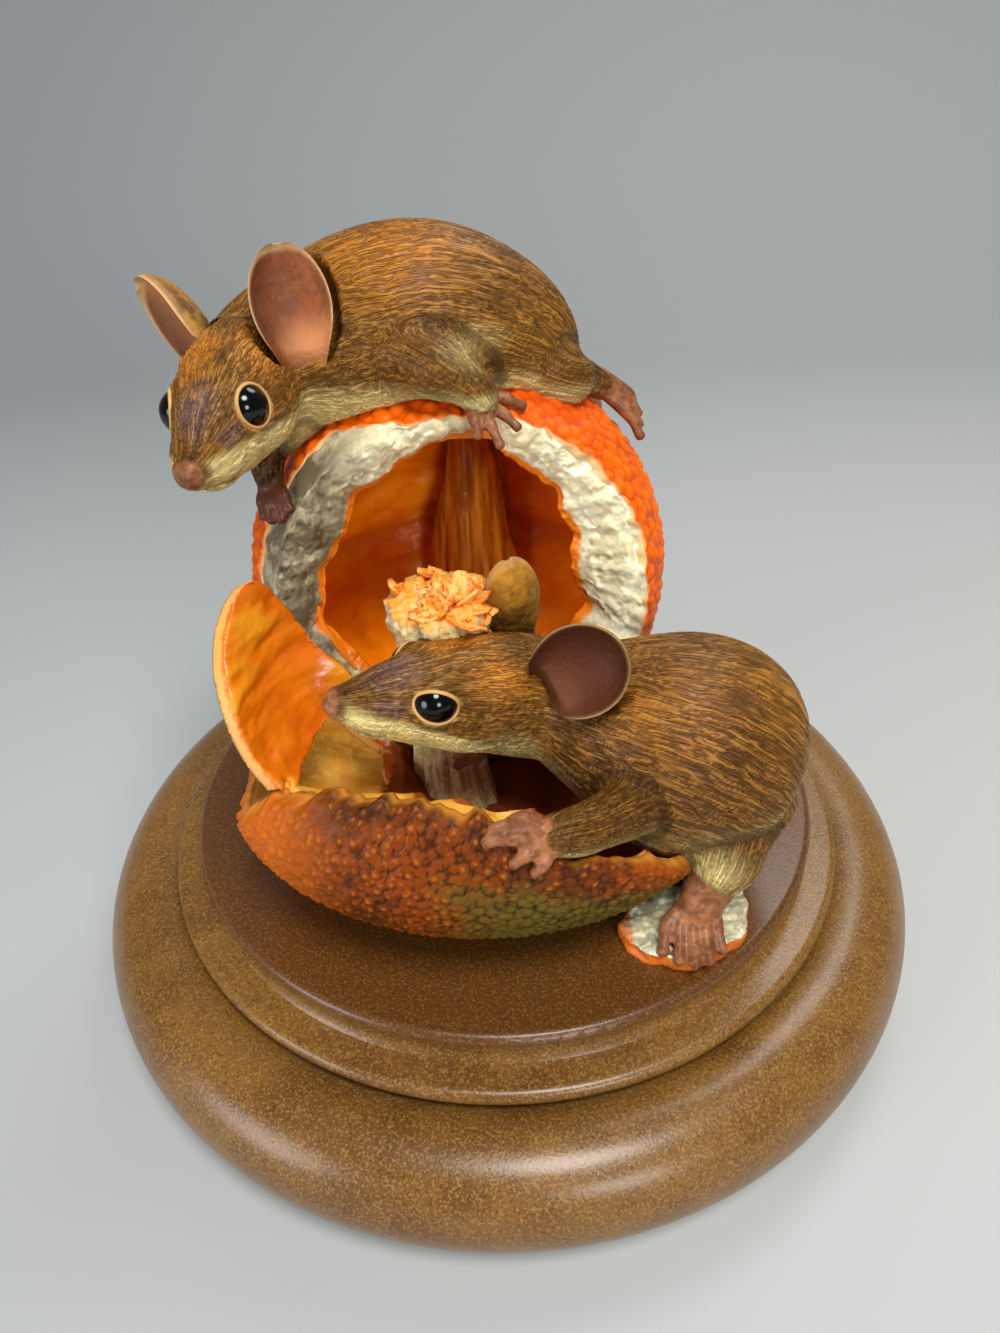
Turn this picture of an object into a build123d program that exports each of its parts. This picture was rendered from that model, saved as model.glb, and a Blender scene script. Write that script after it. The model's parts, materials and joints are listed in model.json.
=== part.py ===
from build123d import *
import math
import os

# The figurine stands on a turned plinth: two mice on an opened orange. Millimetres, +Z up,
# origin at the middle of the plinth's underside, the viewer on the -Y side.

# Plinth, the baize pad under it and the screws through it
plinth_diameter = 140.0
plinth_height = 26.0
torus_height = 16.4
step_ring_diameter = 114.4
step_ring_top = 20.7
step_ring_round = 1.3
top_disc_diameter = 104.6
top_disc_round = 1.2
disc_wall_hollow = 0.8
cove_diameter = 111.0
base_foot_diameter = 128.0
pad_diameter = 126.0
pad_thickness = 1.0
screw_diameter = 3.5
screw_head_diameter = 7.0
screw_head_height = 2.4
screw_slot_width = 0.8
screw_slot_depth = 1.1
screw_tip_length = 3.0
screw_bite = 6.5
screw_spacing = 9.0
screw_count = 2
screw_clearance = 0.3
bite_clearance = 0.1
washer_diameter = 8.4
washer_thickness = 0.8
counterbore_diameter = 9.4
counterbore_depth = 4.2

# The standing orange, open towards the viewer
orange_diameter = 68.6
orange_across = -6.0
orange_back = 17.5
orange_seat_cut = 1.0
rind_wall = 2.0
pith_wall = 4.2
membrane_wall = 1.4
hollow_rise = 2.2
opening_set_back = 18.3
opening_lean = 8.5
opening_turn = 3.5
pith_slope_depth = 5.0
pith_slope_inset = 6.0
membrane_set_back = 4.5
flesh_floor_height = 9.5
fan_thickness = 1.3
fan_reach = 15.0
fan_count = 3
fan_spread = 13.0
fan_shift = 2.5

# The lower peel, torn open as a bowl in front of the orange, with its lining and its core
bowl_length = 76.0
bowl_breadth = 56.4
bowl_height = 41.0
bowl_across = -2.6
bowl_forward = 18.8
bowl_turn = -2.0
bowl_seat_cut = 0.6
bowl_skin = 2.6
bowl_lining_wall = 2.4
lining_below_rim = 2.2
pulp_hollow_length = 44.0
pulp_hollow_shift = 8.0
core_diameter = 14.5
core_waist_diameter = 10.0
core_height = 46.5
core_across = -8.2
core_forward = 11.0
core_foot_height = 5.0
core_tear_count = 5
core_tear_depth = 3.4
core_tear_width = 2.6
core_tear_reach_share = 0.5
core_waist_share = 0.55
rim_tear_shares = [(-0.60, -0.36), (-0.49, -0.14), (-0.42, 0.06), (-0.37, 0.19), (-0.26, 0.26), (-0.14, 0.28),
                   (-0.05, 0.28), (0.00, 0.265), (0.04, 0.20), (0.08, 0.16), (0.19, 0.095), (0.275, 0.055),
                   (0.36, -0.13), (0.40, -0.36), (0.60, -0.70)]

# The petal of peel that stands up at the bowl's left end
petal_height = 36.0
petal_breadth = 28.0
petal_wall = 2.4
petal_cup_radius = 42.0
petal_across = -32.5
petal_forward = 18.5
petal_middle_height = 35.0
petal_turn = -22.0
petal_lean = 25.0
petal_outline_shares = [(-0.45, -0.30), (-0.45, -0.12), (-0.36, 0.10), (-0.17, 0.30), (0.13, 0.38), (0.31, 0.18),
                        (0.48, -0.04), (0.60, -0.29), (0.43, -0.50), (0.00, -0.58), (-0.32, -0.46)]

# The loose scrap of peel under the front mouse's hind foot
scrap_length = 19.5
scrap_breadth = 15.0
scrap_thickness = 2.6
scrap_edge_round = 0.7
scrap_across = 25.6
scrap_forward = 35.0
scrap_outline_shares = [(-0.50, 0.10), (-0.44, -0.34), (-0.05, -0.52), (0.33, -0.34), (0.50, 0.36), (0.14, 0.48),
                        (-0.24, 0.38)]

# Both mice: places along a form are shares of the mouse's length, then its half widths
mouse_length = 80.0
head_length = 34.0
eye_diameter = 6.1
eye_clearance = 0.05
ear_height = 15.8
ear_breadth = 11.4
ear_wall = 1.2
ear_cup_radius = 13.0
ear_root_diameter = 4.6
knuckle_forward = 0.6
finger_diameter = 2.1
finger_length = 7.0
finger_count = 4
finger_spread = 19.0
toe_diameter = 2.2
toe_length = 8.5
toe_count = 5
toe_spread = 13.0
tail_gap = 0.3

head_form_shares = [(0.00, 0.00, 0.022, 0.022), (0.035, 0.00, 0.066, 0.062), (0.15, 0.01, 0.104, 0.112),
                    (0.30, 0.03, 0.162, 0.168), (0.48, 0.035, 0.214, 0.222), (0.68, 0.03, 0.246, 0.256),
                    (0.88, 0.01, 0.268, 0.274), (1.00, 0.00, 0.27, 0.27)]
eye_along_share = 0.385
eye_out_share = 0.124
eye_up_share = 0.088
digit_tip_share = 0.72
screw_taper_share = 0.9

# Ears: where the middle lies in the head, the way it opens and the way it points, each forward, outward and up
ear_shares = {
    "upper_mouse_ear_left": ((-0.775, 0.255, 0.335), (0.55, 0.23, 0.62), (-0.23, -0.07, 0.95)),
    "upper_mouse_ear_right": ((-0.85, 0.21, 0.31), (0.60, 0.62, -0.25), (-0.20, 0.60, 0.75)),
    "front_mouse_ear_left": ((-0.83, 0.36, 0.366), (0.54, 0.73, -0.05), (0.33, -0.08, 0.78)),
    "front_mouse_ear_right": ((-0.90, 0.25, 0.32), (0.20, 0.95, 0.00), (-0.20, 0.20, 0.95)),
}

upper_body_shares = [(-0.444, -0.019, -0.014, 0.020, 0.020), (-0.425, -0.019, -0.008, 0.070, 0.070),
                     (-0.37, -0.019, 0.005, 0.112, 0.112), (-0.29, -0.015, 0.024, 0.142, 0.142),
                     (-0.175, 0.000, 0.052, 0.170, 0.172), (-0.025, 0.020, 0.058, 0.180, 0.182),
                     (0.09, 0.050, 0.012, 0.162, 0.164), (0.165, 0.075, -0.030, 0.124, 0.126),
                     (0.212, 0.090, -0.062, 0.070, 0.070), (0.230, 0.096, -0.076, 0.020, 0.020)]
upper_nose_share = (-0.386, -0.444, -0.026)
upper_facing_turn = -6.5
upper_facing_dip = 5.0
upper_head_roll = -4.0
front_body_shares = [(-0.275, 0.045, 0.355, 0.020, 0.020), (-0.25, 0.045, 0.352, 0.070, 0.070),
                     (-0.19, 0.030, 0.345, 0.116, 0.118), (-0.11, 0.004, 0.334, 0.155, 0.162),
                     (-0.03, -0.015, 0.312, 0.188, 0.200), (0.06, -0.020, 0.280, 0.188, 0.208),
                     (0.135, -0.020, 0.250, 0.160, 0.176), (0.178, -0.020, 0.232, 0.105, 0.116),
                     (0.198, -0.020, 0.222, 0.025, 0.025)]
front_nose_share = (-0.593, -0.100, 0.479)
front_facing_turn = -64.5
front_facing_dip = -18.0
front_head_roll = 6.0
front_across = 25.0
front_forward = 20.0

# Legs: stations along each leg as for the bodies, then the ways that its digits and the back of its paw point
leg_shares = {
    "upper_mouse_foreleg_left": ([(-0.12, -0.06, 0.06, 0.090, 0.090), (-0.02, -0.155, 0.045, 0.060, 0.060),
                                  (0.045, -0.18, 0.01, 0.042, 0.042), (0.075, -0.188, -0.028, 0.040, 0.032)],
                                 (0.45, -0.25, -0.86), (0.20, -0.55, 0.80)),
    "upper_mouse_foreleg_right": ([(-0.25, -0.04, -0.03, 0.075, 0.075), (-0.295, -0.144, -0.08, 0.052, 0.052),
                                   (-0.31, -0.19, -0.15, 0.038, 0.038), (-0.315, -0.202, -0.205, 0.036, 0.032)],
                                  (-0.05, -0.10, -1.00), (-0.60, -0.60, 0.30)),
    "upper_mouse_hind_leg_left": ([(0.14, 0.02, -0.01, 0.10, 0.10), (0.215, -0.06, -0.03, 0.052, 0.052),
                                   (0.255, -0.08, -0.05, 0.034, 0.034), (0.285, -0.08, -0.07, 0.036, 0.028)],
                                  (0.75, 0.05, -0.65), (0.45, -0.35, 0.80)),
    "upper_mouse_hind_leg_right": ([(0.08, 0.14, -0.02, 0.10, 0.10), (0.13, 0.246, -0.058, 0.055, 0.055),
                                    (0.12, 0.334, -0.12, 0.038, 0.038), (0.10, 0.38, -0.196, 0.036, 0.030)],
                                   (0.10, 0.30, -0.90), (0.22, 0.82, 0.53)),
    "front_mouse_foreleg_left": ([(-0.06, -0.05, 0.30, 0.080, 0.080), (-0.11, -0.185, 0.325, 0.064, 0.064),
                                  (-0.195, -0.265, 0.345, 0.045, 0.045), (-0.255, -0.295, 0.352, 0.042, 0.034)],
                                 (-0.98, -0.05, -0.05), (0.00, -0.50, 0.85)),
    "front_mouse_foreleg_right": ([(-0.16, -0.02, 0.29, 0.075, 0.075), (-0.235, -0.08, 0.31, 0.052, 0.052),
                                   (-0.30, -0.11, 0.325, 0.040, 0.040), (-0.350, -0.135, 0.315, 0.036, 0.030)],
                                  (-0.85, 0.00, -0.30), (0.00, 0.00, 1.00)),
    "front_mouse_hind_leg_left": ([(0.09, -0.06, 0.20, 0.13, 0.13), (0.070, -0.15, 0.15, 0.075, 0.075),
                                   (0.045, -0.185, 0.095, 0.048, 0.048), (0.022, -0.21, 0.062, 0.045, 0.032)],
                                  (-0.28, -0.93, -0.12), (0.00, -0.15, 1.00)),
    "front_mouse_hind_leg_right": ([(0.09, 0.02, 0.20, 0.13, 0.13), (0.09, 0.11, 0.125, 0.075, 0.075),
                                    (0.075, 0.15, 0.07, 0.048, 0.048), (0.05, 0.155, 0.038, 0.045, 0.030)],
                                   (-0.95, 0.10, 0.00), (0.00, 0.00, 1.00)),
}

# Tails: the front mouse's curls on the plinth behind the orange, the upper mouse's lies down the orange's back
front_tail_root_shares = [(0.13, 0.03, 0.14, 0.040), (0.185, 0.10, 0.075, 0.033)]
front_tail_shares = [(0.20, 0.22, 0.028), (0.15, 0.42, 0.025), (0.02, 0.62, 0.021), (-0.18, 0.76, 0.017),
                     (-0.38, 0.80, 0.013), (-0.54, 0.74, 0.009)]
upper_tail_root_shares = [(0.19, 0.10, -0.03, 0.040)]
upper_tail_bearings = [(32.0, 58.0), (38.0, 42.0), (44.0, 24.0), (54.0, 6.0), (70.0, -10.0), (90.0, -22.0),
                       (110.0, -28.0)]
upper_tail_width_shares = [0.034, 0.031, 0.027, 0.023, 0.019, 0.014, 0.009]

plinth_top = pad_thickness + plinth_height
orange_radius = orange_diameter / 2
orange_centre = Vector(orange_across, orange_back, plinth_top + orange_radius - orange_seat_cut)
bowl_centre = Vector(bowl_across, -bowl_forward, plinth_top + bowl_height / 2 - bowl_seat_cut)
upper_mouse_at = Vector(orange_across, orange_back, orange_centre.Z + orange_radius)
front_mouse_at = Vector(front_across, -front_forward, plinth_top)


def place(anchor, shares):
    """A point given as shares of the mouse's length from its anchor."""
    return anchor + Vector(*shares[:3]) * mouse_length


def swell(points, widths, side=Vector(0, 0, 1)):
    """Loft a rounded form through ellipses that stand square to its line, inside the open part.

    The side is the upright of the last ellipse, and the others are turned back from it without a twist.
    """
    last = len(points) - 1
    alongs = [(points[min(index + 1, last)] - points[max(index - 1, 0)]).normalized() for index in range(last + 1)]
    across = side.cross(alongs[last])
    sections = []
    for point, along, (half_across, half_deep) in reversed(list(zip(points, alongs, widths))):
        across = (across - along * across.dot(along)).normalized()
        with BuildSketch(Plane(origin=point, x_dir=across, z_dir=along)) as section:
            Ellipse(half_across, half_deep)
        sections.append(section.sketch)
    loft(sections=sections)


def limb(anchor, stations, side=Vector(0, 0, 1)):
    """A body, leg or tail through its stations."""
    points = [place(anchor, station) for station in stations]
    widths = [(station[3] * mouse_length, station[-1] * mouse_length) for station in stations]
    swell(points, widths, side)


def digits(palm, aim, count, spread, length, diameter, flat):
    """Fingers or toes fanned from the palm about the paw's own upright, each a tapered rod with a round tip."""
    root = diameter / 2
    tip = root * digit_tip_share
    for index in range(count):
        turn = spread * (index - (count - 1) / 2)
        direction = aim.rotate(Axis((0, 0, 0), tuple(flat)), turn)
        with BuildSketch(Plane(origin=palm, x_dir=direction.cross(flat), z_dir=flat)) as half:
            with BuildLine():
                Polyline((0, length - tip), (0, 0), (root, 0), (tip, length - tip))
                ThreePointArc((tip, length - tip), (tip * math.sqrt(0.5), length - tip + tip * math.sqrt(0.5)),
                              (0, length))
                Line((0, length), (0, length - tip))
            make_face()
        revolve(half.sketch, axis=Axis(palm, direction))


def head_plane(anchor, nose_share, turn, dip, roll):
    """The plane at the nose tip that faces back along the head, +X to the mouse's right and +Y up."""
    turn, dip, roll = math.radians(turn), math.radians(dip), math.radians(roll)
    facing = Vector(math.sin(turn) * math.cos(dip), -math.cos(turn) * math.cos(dip), -math.sin(dip))
    level = facing.cross(Vector(0, 0, 1)).normalized()
    upright = level.cross(facing)
    right = level * math.cos(roll) + upright * math.sin(roll)
    return Plane(origin=place(anchor, nose_share), x_dir=right, z_dir=facing * -1)


def head_point(plane, along, out, up):
    """A point in a head: back from the nose, out to the right and up."""
    return plane.origin + plane.z_dir * along + plane.x_dir * out + plane.y_dir * up


def ellipsoid(length, breadth, height):
    """A ball drawn out to three sizes."""
    with BuildPart() as form:
        Sphere(1)
        scale(by=(length / 2, breadth / 2, height / 2))
    return form.part


def cupped_plate(plane, outline, cup_radius, wall):
    """A dished plate: the part of a hollow ball inside the outline, hollow side along the plane's normal."""
    with BuildPart() as ball:
        with Locations(plane.offset(cup_radius)):
            Sphere(cup_radius)
            Sphere(cup_radius - wall, mode=Mode.SUBTRACT)
        with BuildSketch(plane):
            with BuildLine():
                Spline(*outline, periodic=True)
            make_face()
        extrude(amount=cup_radius, both=True, mode=Mode.INTERSECT)
    return ball.part


def cut_by(*larger):
    """Cut the open part by the larger forms that it meets."""
    for form in larger:
        add(form.part, mode=Mode.SUBTRACT)


def keep_main(piece):
    """Keep only the largest solid, where a cut has left a crumb."""
    add(piece.part.solids().sort_by(SortBy.VOLUME)[-1], mode=Mode.REPLACE)


def export_piece(piece, name):
    """Name a finished piece and write it."""
    piece.part.label = name
    export_step(piece.part, f"parts/{name}.step")


os.makedirs("parts", exist_ok=True)

# Plinth: turned in one piece, with a counterbored hole for each screw
disc_radius = top_disc_diameter / 2
ring_radius = step_ring_diameter / 2
cove_radius = cove_diameter / 2
base_foot_radius = base_foot_diameter / 2
torus_top = pad_thickness + torus_height
torus_middle = pad_thickness + torus_height / 2
ring_top = pad_thickness + step_ring_top
ring_middle = ring_top - step_ring_round
ring_bottom = ring_middle - step_ring_round
disc_edge = plinth_top - top_disc_round
disc_inset = top_disc_round * (1 - math.sqrt(0.5))
screw_places = [Vector(orange_across + screw_spacing * (index - (screw_count - 1) / 2), orange_back)
                for index in range(screw_count)]

with BuildPart() as plinth:
    with BuildSketch(Plane.XZ):
        with BuildLine():
            Line((0, pad_thickness), (base_foot_radius, pad_thickness))
            ThreePointArc((base_foot_radius, pad_thickness), (plinth_diameter / 2, torus_middle),
                          (cove_radius, torus_top))
            Line((cove_radius, torus_top), (cove_radius, ring_bottom))
            Line((cove_radius, ring_bottom), (ring_radius - step_ring_round, ring_bottom))
            ThreePointArc((ring_radius - step_ring_round, ring_bottom), (ring_radius, ring_middle),
                          (ring_radius - step_ring_round, ring_top))
            Line((ring_radius - step_ring_round, ring_top), (disc_radius, ring_top))
            ThreePointArc((disc_radius, ring_top), (disc_radius - disc_wall_hollow, (ring_top + disc_edge) / 2),
                          (disc_radius, disc_edge))
            ThreePointArc((disc_radius, disc_edge), (disc_radius - disc_inset, plinth_top - disc_inset),
                          (disc_radius - top_disc_round, plinth_top))
            Line((disc_radius - top_disc_round, plinth_top), (0, plinth_top))
            Line((0, plinth_top), (0, pad_thickness))
        make_face()
    revolve(axis=Axis.Z)
    with BuildSketch(Plane.XY.offset(pad_thickness)):
        with Locations(*screw_places):
            Circle(counterbore_diameter / 2)
    extrude(amount=counterbore_depth, mode=Mode.SUBTRACT)
    with BuildSketch(Plane.XY.offset(pad_thickness)):
        with Locations(*screw_places):
            Circle(screw_diameter / 2 + screw_clearance)
    extrude(amount=plinth_height, mode=Mode.SUBTRACT)
export_piece(plinth, "plinth")

# Baize pad glued over the screw holes
with BuildPart() as baize_pad:
    with BuildSketch():
        Circle(pad_diameter / 2)
    extrude(amount=pad_thickness)
export_piece(baize_pad, "baize_pad")

# Screws that pull the orange down on the plinth, and a washer under each head
washer_face = pad_thickness + counterbore_depth
head_face = washer_face - washer_thickness
screw_end = plinth_top + screw_bite
with BuildPart() as fixing_screws:
    with BuildSketch(Plane.XY.offset(head_face - screw_head_height)):
        with Locations(*screw_places):
            Circle(screw_head_diameter / 2)
    extrude(amount=screw_head_height)
    with BuildSketch(Plane.XY.offset(head_face)):
        with Locations(*screw_places):
            Circle(screw_diameter / 2)
    extrude(amount=screw_end - screw_tip_length - head_face)
    with BuildSketch(Plane.XY.offset(screw_end - screw_tip_length)):
        with Locations(*screw_places):
            Circle(screw_diameter / 2)
    extrude(amount=screw_tip_length,
            taper=math.degrees(math.atan2(screw_diameter / 2 * screw_taper_share, screw_tip_length)))
    with BuildSketch(Plane.XY.offset(head_face - screw_head_height)):
        with Locations(*screw_places):
            Rectangle(screw_head_diameter, screw_slot_width)
    extrude(amount=screw_slot_depth, mode=Mode.SUBTRACT)
export_piece(fixing_screws, "fixing_screws")

with BuildPart() as fixing_washers:
    with BuildSketch(Plane.XY.offset(head_face)):
        with Locations(*screw_places):
            Circle(washer_diameter / 2)
            Circle(screw_diameter / 2 + bite_clearance, mode=Mode.SUBTRACT)
    extrude(amount=washer_thickness)
export_piece(fixing_washers, "fixing_washers")

# The standing orange: skin, pith and inner walls, one inside the other, open on one slanting plane
opening_normal = Vector(math.sin(math.radians(opening_turn)), -math.cos(math.radians(opening_turn)),
                        math.sin(math.radians(opening_lean)))
opening = Plane(origin=orange_centre + opening_normal.normalized() * opening_set_back,
                x_dir=(1, 0, 0), z_dir=opening_normal)
orange_at = Plane(origin=orange_centre)
pith_radius = orange_radius - rind_wall
wall_radius = pith_radius - pith_wall
hollow_radius = wall_radius - membrane_wall
opening_pith_radius = math.sqrt(pith_radius ** 2 - opening_set_back ** 2)
pilot_radius = screw_diameter / 2 + bite_clearance


def seat_on_plinth():
    """Cut what lies below the plinth's top, and the screws' pilot holes, from the open part."""
    split(bisect_by=Plane.XY.offset(plinth_top), keep=Keep.TOP)
    with BuildSketch(Plane.XY.offset(plinth_top)) as pilots:
        with Locations(*screw_places):
            Circle(pilot_radius)
    extrude(pilots.sketch, amount=screw_bite + bite_clearance, mode=Mode.SUBTRACT)


with BuildPart(orange_at) as orange_rind:
    Sphere(orange_radius)
    Sphere(pith_radius, mode=Mode.SUBTRACT)
    split(bisect_by=opening, keep=Keep.BOTTOM)
    seat_on_plinth()
export_piece(orange_rind, "orange_rind")

hollow_at = Plane(origin=orange_centre + Vector(0, 0, hollow_rise))
with BuildPart(orange_at) as orange_pith:
    Sphere(pith_radius)
    split(bisect_by=opening, keep=Keep.BOTTOM)
    seat_on_plinth()
    with Locations(Location((0, 0, hollow_rise))):
        Sphere(wall_radius, mode=Mode.SUBTRACT)
    with Locations(opening.offset(-pith_slope_depth / 2)):
        Cone(opening_pith_radius - pith_slope_inset, opening_pith_radius, pith_slope_depth, mode=Mode.SUBTRACT)
export_piece(orange_pith, "orange_pith")

# The hollow stands on a floor of flesh and is parted at the back by a fan of skins
fan_line = orange_centre + Vector(fan_shift, wall_radius)
with BuildPart(hollow_at) as hollow:
    Sphere(hollow_radius)
    split(bisect_by=Plane.XY.offset(plinth_top + flesh_floor_height), keep=Keep.TOP)

with BuildPart() as segment_walls:
    with Locations(hollow_at):
        Sphere(wall_radius)
    add(hollow.part, mode=Mode.SUBTRACT)
    split(bisect_by=opening.offset(-membrane_set_back), keep=Keep.BOTTOM)
    seat_on_plinth()
    with BuildSketch(Plane.XY.offset(plinth_top + flesh_floor_height)) as fan:
        for index in range(fan_count):
            turn = fan_spread * (index - (fan_count - 1) / 2)
            with Locations(Location(fan_line, turn)):
                Rectangle(fan_thickness, 2 * fan_reach)
    with BuildPart(mode=Mode.PRIVATE) as fan_skins:
        extrude(fan.sketch, amount=2 * hollow_radius)
        with Locations(hollow_at):
            Sphere(hollow_radius, mode=Mode.INTERSECT)
    add(fan_skins.part)
export_piece(segment_walls, "segment_walls")

# The whole ball of the orange, which trims whatever is pressed to it
with BuildPart(orange_at) as orange_ball:
    Sphere(orange_radius)
with BuildPart(orange_at) as open_ball:
    Sphere(orange_radius)
    split(bisect_by=opening, keep=Keep.BOTTOM)

# Both mice's bodies: the upper one lies over the orange, the front one leans on the bowl
with BuildPart() as upper_body:
    limb(upper_mouse_at, upper_body_shares)
    cut_by(orange_ball)
export_piece(upper_body, "upper_mouse_body")

with BuildPart() as front_body:
    limb(front_mouse_at, front_body_shares)
    cut_by(orange_ball)
export_piece(front_body, "front_mouse_body")

# Heads: each is lofted back from the nose and let into its body, with a socket for each eye
eye_along = eye_along_share * head_length
eye_out = eye_out_share * head_length
eye_up = eye_up_share * head_length


def head(plane, body, piece):
    """Loft a head in the open part, with its eye sockets, and cut it by the body behind it."""
    sections = []
    for along_share, rise_share, across_share, deep_share in head_form_shares:
        with BuildSketch(plane.offset(along_share * head_length)) as section:
            with Locations((0, rise_share * head_length)):
                Ellipse(across_share * head_length, deep_share * head_length)
        sections.append(section.sketch)
    loft(sections=sections)
    cut_by(body)
    for out in (-eye_out, eye_out):
        with Locations(head_point(plane, eye_along, out, eye_up)):
            Sphere(eye_diameter / 2 + eye_clearance, mode=Mode.SUBTRACT)
    keep_main(piece)


upper_face = head_plane(upper_mouse_at, upper_nose_share, upper_facing_turn, upper_facing_dip, upper_head_roll)
front_face = head_plane(front_mouse_at, front_nose_share, front_facing_turn, front_facing_dip, front_head_roll)
with BuildPart() as upper_head:
    head(upper_face, upper_body, upper_head)
export_piece(upper_head, "upper_mouse_head")
with BuildPart() as front_head:
    head(front_face, front_body, front_head)
export_piece(front_head, "front_mouse_head")


# The bowl of peel: the ball's lower front, pulled down, torn along its rim and pressed to the orange
bowl_at = Location(bowl_centre, (0, 0, bowl_turn))


def bowl_form(inset):
    """The bowl's outer form, drawn in by the inset."""
    return ellipsoid(bowl_length - 2 * inset, bowl_breadth - 2 * inset, bowl_height - 2 * inset)


def torn_rim(drop):
    """The space above the bowl's torn rim, with the rim lowered by the drop."""
    points = [Vector(bowl_across + along_share * bowl_length, bowl_centre.Z + rise_share * bowl_height - drop)
              for along_share, rise_share in rim_tear_shares]
    sky = Vector(0, 2 * bowl_height)
    with BuildPart() as above:
        with BuildSketch(Plane.XZ):
            with BuildLine():
                Spline(*points)
                Polyline(points[-1], points[-1] + sky, points[0] + sky, points[0])
            make_face()
        extrude(amount=bowl_length, both=True)
    return above


with BuildPart() as peel_bowl:
    with Locations(bowl_at):
        add(bowl_form(0))
        add(bowl_form(bowl_skin), mode=Mode.SUBTRACT)
    split(bisect_by=Plane.XY.offset(plinth_top), keep=Keep.TOP)
    cut_by(torn_rim(0), orange_ball, front_body, front_head)
    keep_main(peel_bowl)
export_piece(peel_bowl, "peel_bowl")

# The bowl's lining of pith and pulp, thick at the left and scooped out at the right
lining_inset = bowl_skin + bowl_lining_wall
with BuildPart() as bowl_lining:
    with Locations(bowl_at):
        add(bowl_form(bowl_skin))
    with Locations(bowl_at * Pos(pulp_hollow_shift, 0, 0)):
        add(ellipsoid(pulp_hollow_length, bowl_breadth - 2 * lining_inset, bowl_height - 2 * lining_inset),
            mode=Mode.SUBTRACT)
    cut_by(torn_rim(lining_below_rim), orange_ball, front_body, front_head)
    keep_main(bowl_lining)
export_piece(bowl_lining, "bowl_lining")

# The scrap of peel that lies under the front mouse's foot
scrap_points = [(along_share * scrap_length, across_share * scrap_breadth)
                for along_share, across_share in scrap_outline_shares]
with BuildPart() as foot_scrap:
    with BuildSketch(Plane((scrap_across, -scrap_forward, plinth_top))):
        with BuildLine():
            Spline(*scrap_points, periodic=True)
        make_face()
    extrude(amount=scrap_thickness)
    fillet(foot_scrap.faces().sort_by(Axis.Z)[-1].edges(), scrap_edge_round)
    cut_by(peel_bowl, front_body)
    keep_main(foot_scrap)
export_piece(foot_scrap, "foot_scrap")

def in_head(plane, side, shares):
    """A way in a head, given forward, outward to the ear's own side and up."""
    forward, out, up = shares
    return plane.z_dir * -forward + plane.x_dir * side * out + plane.y_dir * up


mice = [("upper_mouse", upper_face, upper_head, upper_body), ("front_mouse", front_face, front_head, front_body)]
ears = {}
for mouse, face, head_piece, body in mice:
    for hand, side in (("left", -1), ("right", 1)):
        name = f"{mouse}_eye_{hand}"
        with BuildPart() as eye:
            with Locations(head_point(face, eye_along, side * eye_out, eye_up)):
                Sphere(eye_diameter / 2)
        export_piece(eye, name)

        name = f"{mouse}_ear_{hand}"
        middle, opens, points = [in_head(face, side, shares) for shares in ear_shares[name]]
        ear_at = Plane(origin=face.origin + middle * head_length, x_dir=points.cross(opens), z_dir=opens)
        inward = (middle - face.y_dir * middle.dot(face.y_dir) - face.x_dir * middle.dot(face.x_dir) / 2)
        root_foot = face.origin + inward * head_length
        low_edge = ear_at.origin - ear_at.y_dir * (ear_height / 2 - ear_root_diameter / 2)
        with BuildPart() as ear:
            with Locations(ear_at.offset(ear_cup_radius - ear_wall)):
                Sphere(ear_cup_radius)
            with Locations(ear_at.offset(ear_cup_radius)):
                Sphere(ear_cup_radius, mode=Mode.SUBTRACT)
            with BuildSketch(ear_at) as outline:
                Ellipse(ear_breadth / 2, ear_height / 2)
            extrude(outline.sketch, amount=ear_cup_radius, both=True, mode=Mode.INTERSECT)
            swell([root_foot, (root_foot + low_edge) * 0.5, low_edge],
                  [(ear_root_diameter / 2, ear_root_diameter / 2), (ear_root_diameter / 2, ear_root_diameter / 2),
                   (ear_root_diameter / 2, ear_wall)], ear_at.z_dir)
            cut_by(head_piece, body)
            keep_main(ear)
        export_piece(ear, name)
        ears[name] = ear

# Legs: each is let into its body and ends in a paw with its fingers or toes, pressed to what it holds
pressed_to = {
    "upper_mouse_foreleg_left": (upper_body, open_ball),
    "upper_mouse_foreleg_right": (upper_body, upper_head, open_ball),
    "upper_mouse_hind_leg_left": (upper_body, open_ball),
    "upper_mouse_hind_leg_right": (upper_body, open_ball),
    "front_mouse_foreleg_left": (front_body, peel_bowl),
    "front_mouse_foreleg_right": (front_body, front_head, bowl_lining),
    "front_mouse_hind_leg_left": (front_body, foot_scrap, peel_bowl),
    "front_mouse_hind_leg_right": (front_body,),
}
legs = {}
for name, (stations, aim_share, flat_share) in leg_shares.items():
    anchor = upper_mouse_at if name.startswith("upper") else front_mouse_at
    flat = Vector(*flat_share).normalized()
    aim = Vector(*aim_share)
    aim = (aim - flat * aim.dot(flat)).normalized()
    palm = place(anchor, stations[-1])
    with BuildPart() as leg:
        limb(anchor, stations, flat)
        with Locations(palm + aim * knuckle_forward):
            Sphere(stations[-1][-1] * mouse_length)
        if "hind" in name:
            digits(palm, aim, toe_count, toe_spread, toe_length, toe_diameter, flat)
        else:
            digits(palm, aim, finger_count, finger_spread, finger_length, finger_diameter, flat)
        cut_by(*pressed_to[name])
        if name.endswith("hind_leg_right"):
            cut_by(legs[name.replace("right", "left")])
        keep_main(leg)
    export_piece(leg, name)
    legs[name] = leg

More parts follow.
